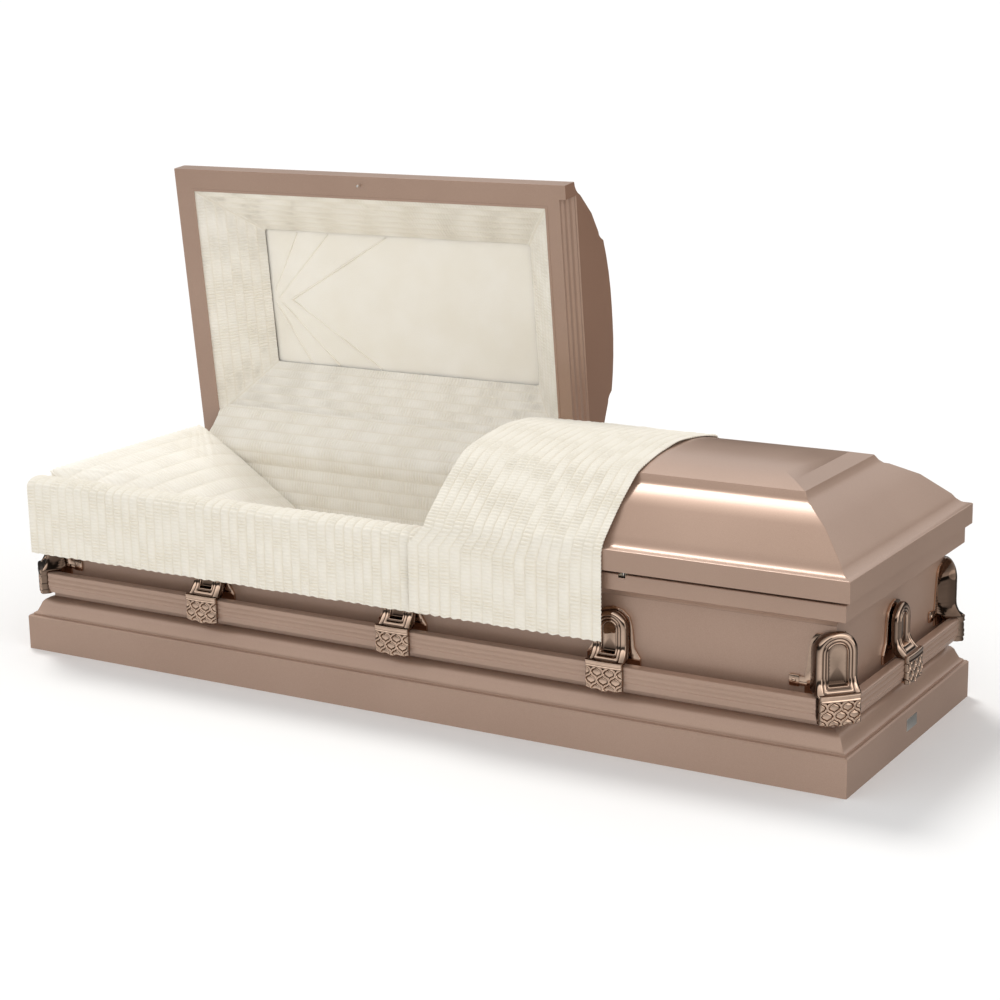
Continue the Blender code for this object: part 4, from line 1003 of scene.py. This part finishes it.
class CASKET_OT_fittings(Operator):
    """Cast the arms, lugs, hinges, pins and plate and lay the seal"""

    bl_idname = "casket.fittings"
    bl_label = "Castings and Hinges"

    def execute(self, context):
        settings = context.scene.casket.fittings
        plating = bpy.data.materials["rose_bronze_plating"]
        side_arm = join("side_arm_pattern", [
            model_shield("side_shield", 0.040, SIDE_ARM_HIGH.z, SIDE_NECK, SIDE_REACH, False),
            model_block("side_block", settings, SIDE_REACH, BAR_REACH),
            model_strap("side_strap", SIDE_REACH),
        ])
        corner_arm = join("corner_arm_pattern", [
            model_shield("corner_shield", 0.044, CORNER_ARM_HIGH.z, CORNER_NECK, CORNER_REACH, True),
            model_block("corner_block", settings, CORNER_REACH, 0.002),
            model_ear("left_ear", -1),
            model_ear("right_ear", 1),
        ])
        places = []
        for label in ("head", "middle", "foot"):
            low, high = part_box(f"front_{label}_arm")
            at = (low.x + high.x) / 2
            places.append((f"front_{label}", side_arm, (at, -WALL_Y), 0))
            places.append((f"rear_{label}", side_arm, (at, WALL_Y), 180))
        places.append(("foot_end", side_arm, (WALL_X, 0), 90))
        places.append(("head_end", side_arm, (-WALL_X, 0), 270))
        for index, label in enumerate(("front_foot", "rear_foot", "rear_head", "front_head")):
            sx = 1 if label.endswith("foot") else -1
            sy = 1 if label.startswith("rear") else -1
            places.append((f"{label}_corner", corner_arm, (sx * WALL_X, sy * WALL_Y), 45 + 90 * index))
        for label, pattern, at, degrees in places:
            arm = placed_copy(pattern, f"{label}_casting", at, degrees)
            finished(arm, 50, plating, f"{label}_arm")
            lug = merged_copy(f"{label}_lug", f"{label}_bracket")
            soften(lug, 0.0009, 30)
            finished(lug, 50, plating, f"{label}_lug")
        for pattern in (side_arm, corner_arm):
            bpy.data.objects.remove(pattern, do_unlink=True)
        steel = bpy.data.materials["satin_steel"]
        small = [node for node in frame["nodes"] if "hinge" in node or node.endswith("_pin")]
        for node in small + ["foot_end_plate"]:
            name = node.replace("leaf", "flap").replace("_pin", "_stud").replace("plate", "tag")
            piece = merged_copy(node, name)
            soften(piece, 0.0003, 40)
            finished(piece, 45, steel, node)
        seal = merged_copy("rim_seal", "seal_strip")
        soften(seal, 0.001, segments=3)
        finished(seal, 60, bpy.data.materials["seal_rubber"], "rim_seal")
        return {"FINISHED"}


# Section of a lid's gathered border as (inset, height), where the panel lies, and the fan's tucks in plan
LINING_SECTION = ((-0.004, 0.0006), (0.003, 0.004), (0.045, 0.042), (0.085, 0.082), (0.119, 0.119))
PANEL_INSET = 0.116
PANEL_DEPTH = 0.1243
FAN_TUCKS = (
    ((-0.868, -0.014), (-0.7805, -0.1700)), ((-0.858, 0.004), (-0.6858, -0.1700)),
    ((-0.815, 0.006), (-0.5100, -0.1700)), ((-0.868, 0.020), (-0.7728, 0.1740)),
    ((-0.850, 0.018), (-0.6860, 0.1740)), ((-0.818, 0.008), (-0.5549, 0.1740)),
)


def lid_lining(label, x_low, x_high, cloth, opened):
    """Gathered border and flat satin panel inside one lid."""
    mouth = (x_low + LID_FLANGE, x_high - LID_FLANGE, -LID_Y + LID_FLANGE, LID_Y - LID_FLANGE)
    section = [(inset, LINING_BASE + height) for inset, height in LINING_SECTION]
    path = rounded_path(section, 0.03, 4)
    sheets = mitred_cloth(mouth, path, cloth.row_pitch * 0.8, cloth, 3.0, (0.40, 1.0))
    if opened:
        sheets = [(swing(grid), spots, hollow) for grid, spots, hollow in sheets]
    border = cloth_mesh(f"{label}_lid_border_crepe", sheets, True)
    weld(border)
    clothe(border, "shirred_crepe_inside")
    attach(border, f"{label}_lid_body")
    nodes = [node for node in frame["nodes"] if node.startswith(f"{label}_lid") and "border" in node]
    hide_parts(*nodes)

    low = (mouth[0] + PANEL_INSET, mouth[2] + PANEL_INSET)
    high = (mouth[1] - PANEL_INSET, mouth[3] - PANEL_INSET)
    across = np.linspace(low[0], high[0], 150)
    up = np.linspace(low[1], high[1], 70)
    spread_x, spread_y = np.meshgrid(across, up)
    level = LINING_BASE + PANEL_DEPTH
    grid = np.stack([spread_x, spread_y, np.full_like(spread_x, level)], axis=2)
    wave = 0.0007 * np.sin(spread_x * 23.0 + 4.0 * np.sin(spread_y * 9.0))
    wave += 0.0005 * np.sin(spread_x * 61.0 + spread_y * 35.0)
    grid[:, :, 2] += wave
    spots = np.stack([spread_x, spread_y], axis=2)
    if opened:
        grid = swing(grid)
    panel = cloth_mesh(f"{label}_lid_panel_satin", [(grid, spots, np.zeros_like(spread_x))], True)
    clothe(panel, "lining_satin")
    stands_for(panel, f"{label}_lid_lining_panel")
    return level


def fan_tuck(name, start, end, level):
    """Narrow sewn tuck on the satin panel, thickest at the tuft, with painted shade along its sides."""
    start, end = np.array(start), np.array(end)
    along = end - start
    length = np.linalg.norm(along)
    side = np.array((-along[1], along[0])) / length
    steps = int(length / 0.006)
    ring = ((-1.0, 0.0), (-0.4, 0.8), (0.4, 0.8), (1.0, 0.0))
    grid = np.zeros((steps + 1, len(ring), 3))
    spots = np.zeros((steps + 1, len(ring), 2))
    # Painted shade: the tuck's two sides are painted darker than its crest
    hollow = np.tile((1.0, 0.25, 0.0, 0.9), (steps + 1, 1))
    for i in range(steps + 1):
        share = i / steps
        width = 0.0032 * (1 - 0.30 * share)
        middle = start + along * share
        for j, (offset, rise) in enumerate(ring):
            place = middle + side * width * offset
            grid[i, j] = (place[0], place[1], level + 0.0006 - 0.0042 * rise)
            spots[i, j] = (share * length, offset * width)
    piece = cloth_mesh(name, [(swing(grid), spots, hollow)], True)
    smooth(piece, 60)
    return piece


class CASKET_OT_lid_linings(Operator):
    """Line both lids with gathered borders and satin panels"""

    bl_idname = "casket.lid_linings"
    bl_label = "Lid Linings"

    def execute(self, context):
        cloth = context.scene.casket.cloth
        level = lid_lining("head", -LID_X, HEAD_LID_END, cloth, True)
        lid_lining("foot", FOOT_LID_LOW.x, LID_X, cloth, False)
        tucks = [fan_tuck(f"fan_tuck_{i + 1}", start, end, level) for i, (start, end) in enumerate(FAN_TUCKS)]
        fan = join("head_lid_fan_tucks", tucks)
        dress(fan, bpy.data.materials["lining_satin"])
        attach(fan, "head_lid_body")
        return {"FINISHED"}


# Path of the fall from the wall rows to the open lid's border, as (y, z)
FALL_PATH = (
    (0.2900, 0.3480), (0.2870, 0.362), (0.2885, 0.388), (0.303, 0.411), (0.331, 0.434), (0.3475, 0.452),
    (0.358, 0.464), (0.3720, 0.4760),
)


class CASKET_OT_wall_lining(Operator):
    """Line the walls with long gathered rows and carry them up to the open lid"""

    bl_idname = "casket.wall_lining"
    bl_label = "Wall Lining"

    def execute(self, context):
        cloth = context.scene.casket.cloth
        x, y = WALL_X - 0.0015, WALL_Y - 0.0015
        top, foot = RIM_TOP - 0.014, MATTRESS_HIGH.z - 0.030
        section = [(0.001, top - 0.0016), (0.010, top - 0.003), (0.052, foot)]
        path = rounded_path(section, 0.006, 4)
        sheets = mitred_cloth((-x, x, -y, y), path, cloth.row_pitch, cloth, 11.0, (0.50, 0.8), 0.002)
        lining = cloth_mesh("wall_rows_crepe", sheets, False)
        weld(lining)
        clothe(lining, "shirred_crepe_inside")
        stands_for(lining, "wall_lining")

        path = rounded_path(FALL_PATH, 0.01, 4)
        length = row_places(path_length(path), cloth.row_pitch)
        line = path_at(path, length)
        count = int((HEAD_LID_END + MOUTH_X) / 0.0022)
        along = np.linspace(-MOUTH_X + 0.004, HEAD_LID_END - 0.002, count)
        grid = swept(line, count)
        grid[:, :, 0] = along[None, :]
        across = np.repeat(length[:, None], count, axis=1)
        spread = np.repeat(along[None, :], len(line), axis=0)
        raised, hollow = gathers(spread, across, cloth.ripple_pitch, cloth.row_pitch,
                                 cloth.puff * 0.50, cloth.ripple_height * 0.8, 23.0)
        grid = grid + normals_of(grid) * raised[:, :, None]
        fall = cloth_mesh("rear_fall_crepe", [(grid, np.stack([spread, across], axis=2), hollow)], False)
        clothe(fall, "shirred_crepe_inside")
        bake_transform(fall, "case", "head_lid_body", start=(0, *FALL_PATH[0]), end=(0, *FALL_PATH[-1]))
        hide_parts("rear_gusset")
        return {"FINISHED"}


class CASKET_OT_mattress(Operator):
    """Make the padded mattress"""

    bl_idname = "casket.mattress"
    bl_label = "Mattress"

    def execute(self, context):
        middle = (MATTRESS_LOW + MATTRESS_HIGH) / 2
        size = MATTRESS_HIGH - MATTRESS_LOW
        bpy.ops.mesh.primitive_cube_add(size=1.0, location=middle, scale=size)
        piece = bpy.context.object
        piece.name = "mattress_satin"
        settle(piece)
        enter_edit(piece, "FACE")
        bpy.ops.mesh.select_all(action="SELECT")
        bpy.ops.mesh.subdivide(number_cuts=24)
        leave_edit()
        half_x, half_y, half_z = size.x / 2, size.y / 2, size.z / 2
        for vert in piece.data.vertices:
            place = vert.co - middle
            a, b = place.x / half_x, place.y / half_y
            edge = min((1 - abs(a)) * half_x, (1 - abs(b)) * half_y)
            round_off = 0.020 * max(0.0, 1 - edge / 0.05) ** 2
            tuft = math.cos(place.x * 2 * math.pi / 0.24) * math.cos(place.y * 2 * math.pi / 0.20)
            if place.z > 0.9 * half_z:
                vert.co.z -= round_off + 0.003 - 0.003 * tuft
            if place.z < -0.9 * half_z:
                vert.co.z += 0.5 * round_off
        add_step(piece, "SUBSURF", "soft form", levels=1, render_levels=1)
        clothe(piece, "padded_satin", 70)
        stands_for(piece, "mattress")
        return {"FINISHED"}


# Pillow: its slope, where its head edge lies as (x, z), its half widths, and its half thickness
PILLOW_LENGTH = 0.490
PILLOW_TILT = math.radians(31.0)
PILLOW_HEAD = (-1.012, 0.428)
PILLOW_HALF_HEAD = 0.292
PILLOW_HALF_FOOT = 0.257
PILLOW_EDGE = 0.009
PILLOW_SWELL = 0.030


def pinch(along):
    """How far the pillow's sides are drawn in towards its ends."""
    return 1 - 0.03 * (2 * along - 1) ** 2


def pillow_place(along, across, rise):
    """From the pillow's own plan and rise to its tilted place in the casket."""
    half = PILLOW_HALF_HEAD + (PILLOW_HALF_FOOT - PILLOW_HALF_HEAD) * along
    x = PILLOW_HEAD[0] + PILLOW_LENGTH * along * math.cos(PILLOW_TILT) + rise * math.sin(PILLOW_TILT)
    z = PILLOW_HEAD[1] - PILLOW_LENGTH * along * math.sin(PILLOW_TILT) + rise * math.cos(PILLOW_TILT)
    return Vector((x, across * half, z))


def plump(piece, cap):
    """Blow a pad up a little with a short cloth simulation, with its seam pinned."""
    rest = [vert.co.copy() for vert in piece.data.vertices]
    cloth = piece.modifiers.new("plump", "CLOTH")
    cloth.settings.use_pressure = True
    cloth.settings.uniform_pressure_force = 4.0
    cloth.settings.vertex_group_mass = "seam"
    cloth.settings.effector_weights.gravity = 0.0
    cloth.point_cache.frame_start = 1
    cloth.point_cache.frame_end = 20
    scene = bpy.context.scene
    for number in range(1, 21):
        scene.frame_set(number)
    choose(piece)
    bpy.ops.object.modifier_apply(modifier=cloth.name)
    for vert, before in zip(piece.data.vertices, rest):
        moved = vert.co - before
        if moved.length > cap:
            vert.co = before + moved * (cap / moved.length)
    scene.frame_set(1)


class CASKET_OT_pillow(Operator):
    """Make the stuffed pillow with its gathers and welt"""

    bl_idname = "casket.pillow"
    bl_label = "Pillow"

    def execute(self, context):
        cloth = context.scene.casket.cloth
        bpy.ops.mesh.primitive_cube_add(size=2.0)
        piece = bpy.context.object
        piece.name = "pillow_crepe"
        enter_edit(piece, "FACE")
        bpy.ops.mesh.select_all(action="SELECT")
        bpy.ops.mesh.subdivide(number_cuts=22)
        leave_edit()
        for vert in piece.data.vertices:
            along, across, level = (vert.co.x + 1) / 2, vert.co.y, vert.co.z
            full = (1 - (2 * along - 1) ** 4) * (1 - across ** 4)
            rise = level * (PILLOW_EDGE + PILLOW_SWELL * full ** 0.5)
            vert.co = pillow_place(along, across * pinch(along), rise)
        choose(piece)
        piece.data.remesh_voxel_size = 0.0055
        bpy.ops.object.voxel_remesh()
        seam = piece.vertex_groups.new(name="seam")
        turn = Vector((math.sin(PILLOW_TILT), 0, math.cos(PILLOW_TILT)))
        head = Vector((PILLOW_HEAD[0], 0, PILLOW_HEAD[1]))
        down = Vector((math.cos(PILLOW_TILT), 0, -math.sin(PILLOW_TILT)))
        for vert in piece.data.vertices:
            place = vert.co - head
            along, rise = place.dot(down) / PILLOW_LENGTH, place.dot(turn)
            half = PILLOW_HALF_HEAD + (PILLOW_HALF_FOOT - PILLOW_HALF_HEAD) * min(max(along, 0), 1)
            edge = min(along, 1 - along, 1 - abs(place.y) / half)
            if edge < 0.035 and abs(rise) < PILLOW_EDGE:
                seam.add([vert.index], 1.0, "REPLACE")
        plump(piece, 0.016)
        add_step(piece, "SUBSURF", "soft form", levels=1, render_levels=1)
        rows = points_of(piece)
        places = rows - np.array(head)
        along = places @ np.array(down)
        across = places[:, 1]
        half = PILLOW_HALF_HEAD + (PILLOW_HALF_FOOT - PILLOW_HALF_HEAD) * along / PILLOW_LENGTH
        edge = np.minimum(np.minimum(along, PILLOW_LENGTH - along), half - np.abs(across))
        fade = np.clip(edge / 0.02, 0.0, 1.0)
        raised, hollow = gathers(across, along, 0.012, 0.046, 0.0024, 0.0013, 5.0)
        raised = raised * fade
        raised += 0.0016 * np.sin(across * 2 * np.pi / 0.017) * np.exp(-np.clip(edge, 0, 1) / 0.025)
        move_points(piece, rows + points_of(piece, "normals") * raised[:, None])
        # Painted shade: the pillow's crepe is painted darker in the folds of its gathers, fading out towards
        # its edges
        shade = piece.data.attributes.new("hollow", "FLOAT", "POINT")
        shade.data.foreach_set("value", (0.7 * hollow * fade).astype(np.float32))
        clothe(piece, "padded_crepe", 70)
        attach(piece, "case")
        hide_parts("pillow")

        outline = []
        for i in range(4):
            for j in range(40):
                share = j / 40
                along, across = ((share, -1), (1, 2 * share - 1), (1 - share, 1), (0, 1 - 2 * share))[i]
                outline.append(pillow_place(along, across * pinch(along), 0.0))
        curve = bpy.data.curves.new("pillow_welt", "CURVE")
        curve.dimensions = "3D"
        curve.bevel_depth = 0.0034
        curve.bevel_resolution = 3
        line = curve.splines.new("POLY")
        line.points.add(len(outline) - 1)
        for point, place in zip(line.points, outline):
            point.co = (*place, 1.0)
        line.use_cyclic_u = True
        welt = bpy.data.objects.new("pillow_welt", curve)
        bpy.context.scene.collection.objects.link(welt)
        choose(welt)
        bpy.ops.object.convert(target="MESH")
        welt = bpy.context.object
        clothe(welt, "padded_crepe", 70)
        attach(welt, "case")
        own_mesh(piece)
        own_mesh(welt)
        return {"FINISHED"}


def hem_wave(grid, length, cloth, height):
    """Small scallops along a hem, one to each gathered row."""
    return height * np.sin(grid[:, :, 0] * 2 * np.pi / cloth.stitch_pitch) * (
        np.clip(1 - length / 0.02, 0, 1)[:, None])


class CASKET_OT_apron(Operator):
    """Hang the gathered apron over the front rim"""

    bl_idname = "casket.apron"
    bl_label = "Apron"

    def execute(self, context):
        cloth = context.scene.casket.cloth
        face = APRON_LOW.y + 0.0016
        inner = APRON_HIGH.y - 0.001
        low_z, top = APRON_LOW.z, APRON_HIGH.z
        middle, half = (face + inner) / 2, (inner - face) / 2
        arch_low = RIM_TOP + 0.010
        path = [(face, low_z), (face, arch_low)]
        for i in range(1, 16):
            angle = math.pi - math.pi * i / 16
            height = arch_low + (top - arch_low) * math.sin(angle) ** 0.8
            path.append((middle + half * math.cos(angle), height))
        path += [(inner, arch_low), (inner, RIM_TOP - 0.013)]
        grid, spots, hollow, length = hang_skirt(path, APRON_LOW.x, APRON_HIGH.x, cloth, 2.0)
        drape = 0.0012 * np.sin(grid[:, :, 0] * 41.0) * np.clip(1 - length / 0.13, 0, 1)[:, None]
        grid[:, :, 1] += drape
        grid[:, :, 2] += hem_wave(grid, length, cloth, 0.0012)
        skirt = cloth_mesh("apron_crepe", [(grid, spots, hollow)], False)
        add_step(skirt, "SOLIDIFY", "cloth thickness", thickness=CLOTH_THICKNESS, offset=-1.0)
        clothe(skirt, "shirred_crepe")
        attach(skirt, "case")
        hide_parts("apron")
        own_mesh(skirt)
        return {"FINISHED"}


# Where the overthrow bears on the crown, as (inset, rise) from the top of the fascia
CROWN = (
    (0.0, 0.0), (0.034, 0.0285), (0.089, 0.0735), (0.165, 0.124), (0.205, 0.133), (0.260, 0.142),
    (0.331, 0.148),
)


class CASKET_OT_overthrow(Operator):
    """Lay the gathered overthrow on the foot lid"""

    bl_idname = "casket.overthrow"
    bl_label = "Overthrow"

    def execute(self, context):
        cloth = context.scene.casket.cloth
        front = [(OVERTHROW_LOW.y + 0.0012, OVERTHROW_LOW.z)]
        for inset, rise in CROWN:
            front.append((-LID_Y + inset - 0.0040, LID_RIM + 0.045 + rise + 0.0034))
        ridge_z = front[-1][1]
        rear = [(-y, z) for y, z in reversed(front[1:]) if -y < OVERTHROW_HIGH.y]
        rear.append((OVERTHROW_HIGH.y, rear[-1][1] - 0.010))
        path = rounded_path(front + [(0.0, ridge_z + 0.001)] + rear, 0.030, 6)
        slant = OVERTHROW_LOW.x - 0.0475

        def shift(line):
            lean = np.clip((LID_RIM + 0.043 - line[:, 1]) / 0.043, 0.0, 1.0)
            on_front = line[:, 0] < 0
            return -slant * lean * on_front

        grid, spots, hollow, length = hang_skirt(
            path, OVERTHROW_LOW.x, OVERTHROW_HIGH.x, cloth, 7.0, edge_shift=shift
        )
        grid[:, :, 2] += hem_wave(grid, length, cloth, 0.0014)
        sheet = cloth_mesh("overthrow_crepe", [(grid, spots, hollow)], False)
        add_step(sheet, "SOLIDIFY", "cloth thickness", thickness=CLOTH_THICKNESS, offset=-1.0)
        clothe(sheet, "shirred_crepe")
        stands_for(sheet, "overthrow")
        return {"FINISHED"}


# Room light as (place, brightness): from straight down to straight up behind and before the casket, and
# from behind to before for the even light
ROOM_BEHIND = ((0.0, 0.60), (0.36, 0.16), (0.50, 0.02), (0.63, 0.05), (0.70, 0.95), (0.80, 0.95), (1.0, 0.30))
ROOM_BEFORE = (
    (0.0, 0.95), (0.34, 0.72), (0.44, 0.50), (0.50, 0.04), (0.62, 0.08), (0.68, 1.45), (0.80, 1.1),
    (1.0, 0.30),
)
ROOM_EVEN = ((0.0, 0.52), (1.0, 0.96))


def light_ramp(tree, source, stops):
    """Grey light that follows a value through stops."""
    node = add_node(tree, "ShaderNodeValToRGB")
    tree.links.new(source, node.inputs["Fac"])
    marks = node.color_ramp.elements
    for mark, (place, value) in zip(marks, (stops[0], stops[-1])):
        mark.position = place
        mark.color = (value, value, value, 1)
    for place, value in stops[1:-1]:
        marks.new(place).color = (value, value, value, 1)
    return node.outputs["Color"]


def mixed_light(tree, share, first, second):
    """Two colours mixed by a share."""
    node = add_node(tree, "ShaderNodeMix", data_type="RGBA")
    tree.links.new(share, node.inputs["Factor"])
    tree.links.new(first, node.inputs[6])
    tree.links.new(second, node.inputs[7])
    return node.outputs[2]


class CASKET_OT_studio(Operator):
    """Set up the pale floor, the soft light and the camera"""

    bl_idname = "casket.studio"
    bl_label = "Studio"

    def execute(self, context):
        bpy.ops.mesh.primitive_plane_add(size=240.0, location=(0, 0, 0))
        floor = bpy.context.object
        floor.name = "studio_floor"
        material, tree, shader = node_tree("pale_floor")
        set_inputs(shader, Base_Color=(0.96, 0.96, 0.96, 1.0), Roughness=0.9, Specular_IOR_Level=0.1)
        floor.data.materials.append(material)
        floor.visible_glossy = False
        for name, energy, angle, toward, colour in (
            ("key_light", 1.20, 16.0, (-0.50, 0.34, 1.0), (1.0, 0.985, 0.955)),
            ("end_light", 0.50, 50.0, (1.0, -0.15, 0.25), (1.0, 0.99, 0.98)),
        ):
            data = bpy.data.lights.new(name, "SUN")
            data.energy = energy
            data.angle = math.radians(angle)
            data.color = colour
            lamp = bpy.data.objects.new(name, data)
            context.scene.collection.objects.link(lamp)
            lamp.rotation_euler = Vector(toward).to_track_quat("Z", "Y").to_euler()
        world = bpy.data.worlds.new("soft_room")
        world.use_nodes = True
        tree = world.node_tree
        background = tree.nodes["Background"]
        direction = add_node(tree, "ShaderNodeTexCoord").outputs["Generated"]
        split = add_node(tree, "ShaderNodeSeparateXYZ")
        tree.links.new(direction, split.inputs[0])
        height = math_node(tree, "ADD", math_node(tree, "MULTIPLY", split.outputs["Z"], 0.5), 0.5)
        front = math_node(tree, "ADD", math_node(tree, "MULTIPLY", split.outputs["Y"], -0.5), 0.5)
        facing = math_node(tree, "ADD", math_node(tree, "MULTIPLY", split.outputs["Y"], -1.2), 0.3)
        room = light_ramp(tree, height, ROOM_BEHIND)
        fill = light_ramp(tree, height, ROOM_BEFORE)
        glossy = mixed_light(tree, facing, room, fill)
        even = light_ramp(tree, front, ROOM_EVEN)
        path = add_node(tree, "ShaderNodeLightPath")
        lit = mixed_light(tree, path.outputs["Is Glossy Ray"], even, glossy)
        white = add_node(tree, "ShaderNodeRGB")
        white.outputs[0].default_value = (1.03, 1.03, 1.03, 1)
        seen = mixed_light(tree, path.outputs["Is Camera Ray"], lit, white.outputs[0])
        tree.links.new(seen, background.inputs["Color"])
        background.inputs["Strength"].default_value = 1.0
        context.scene.world = world
        context.scene.view_settings.view_transform = "Standard"

        yaw, pitch, roll = math.radians(-30.8965), math.radians(13.856), math.radians(-1.0)
        forward = Vector((math.sin(yaw) * math.cos(pitch), math.cos(yaw) * math.cos(pitch), -math.sin(pitch)))
        right = Vector((math.cos(yaw), -math.sin(yaw), 0))
        up = right.cross(forward)
        level = math.cos(roll) * right + math.sin(roll) * up
        rise = -math.sin(roll) * right + math.cos(roll) * up
        data = bpy.data.cameras.new("photo_camera")
        data.sensor_width = 36.0
        data.lens = 36.0 * 2.24479
        camera = bpy.data.objects.new("photo_camera", data)
        context.scene.collection.objects.link(camera)
        turn = Matrix((level, rise, -forward)).transposed().to_4x4()
        camera.matrix_world = Matrix.Translation((2.59478, -4.22437, 1.62931)) @ turn
        context.scene.camera = camera
        return {"FINISHED"}


class CASKET_PT_panel(Panel):
    """Sidebar panel that lists the casket's steps"""

    bl_idname = "CASKET_PT_panel"
    bl_label = "Burial Casket"
    bl_space_type = "VIEW_3D"
    bl_region_type = "UI"
    bl_category = "Casket"

    def draw(self, context):
        layout = self.layout
        settings = context.scene.casket
        for group in (settings.steel, settings.fittings, settings.cloth):
            box = layout.box()
            box.label(text=type(group).__name__)
            for name in group.__annotations__:
                box.prop(group, name)
        column = layout.column(align=True)
        for step in STEPS:
            column.operator(step.bl_idname)


STEPS = (
    CASKET_OT_studio,
    CASKET_OT_finishes,
    CASKET_OT_steel,
    CASKET_OT_fittings,
    CASKET_OT_lid_linings,
    CASKET_OT_wall_lining,
    CASKET_OT_mattress,
    CASKET_OT_pillow,
    CASKET_OT_apron,
    CASKET_OT_overthrow,
)
CLASSES = (CasketSteel, CasketFittings, CasketCloth, CasketSettings) + STEPS + (CASKET_PT_panel,)


def register():
    """Register the settings, operators and panel."""
    for item in CLASSES:
        bpy.utils.register_class(item)
    bpy.types.Scene.casket = PointerProperty(type=CasketSettings)


def unregister():
    """Take them away again."""
    del bpy.types.Scene.casket
    for item in reversed(CLASSES):
        bpy.utils.unregister_class(item)


def main():
    """Run every step in order."""
    register()
    deselect_all()
    bpy.ops.casket.studio()
    bpy.ops.casket.finishes()
    bpy.ops.casket.steel()
    bpy.ops.casket.fittings()
    bpy.ops.casket.lid_linings()
    bpy.ops.casket.wall_lining()
    bpy.ops.casket.mattress()
    bpy.ops.casket.pillow()
    bpy.ops.casket.apron()
    bpy.ops.casket.overthrow()
    deselect_all()


if __name__ == "__main__":
    main()
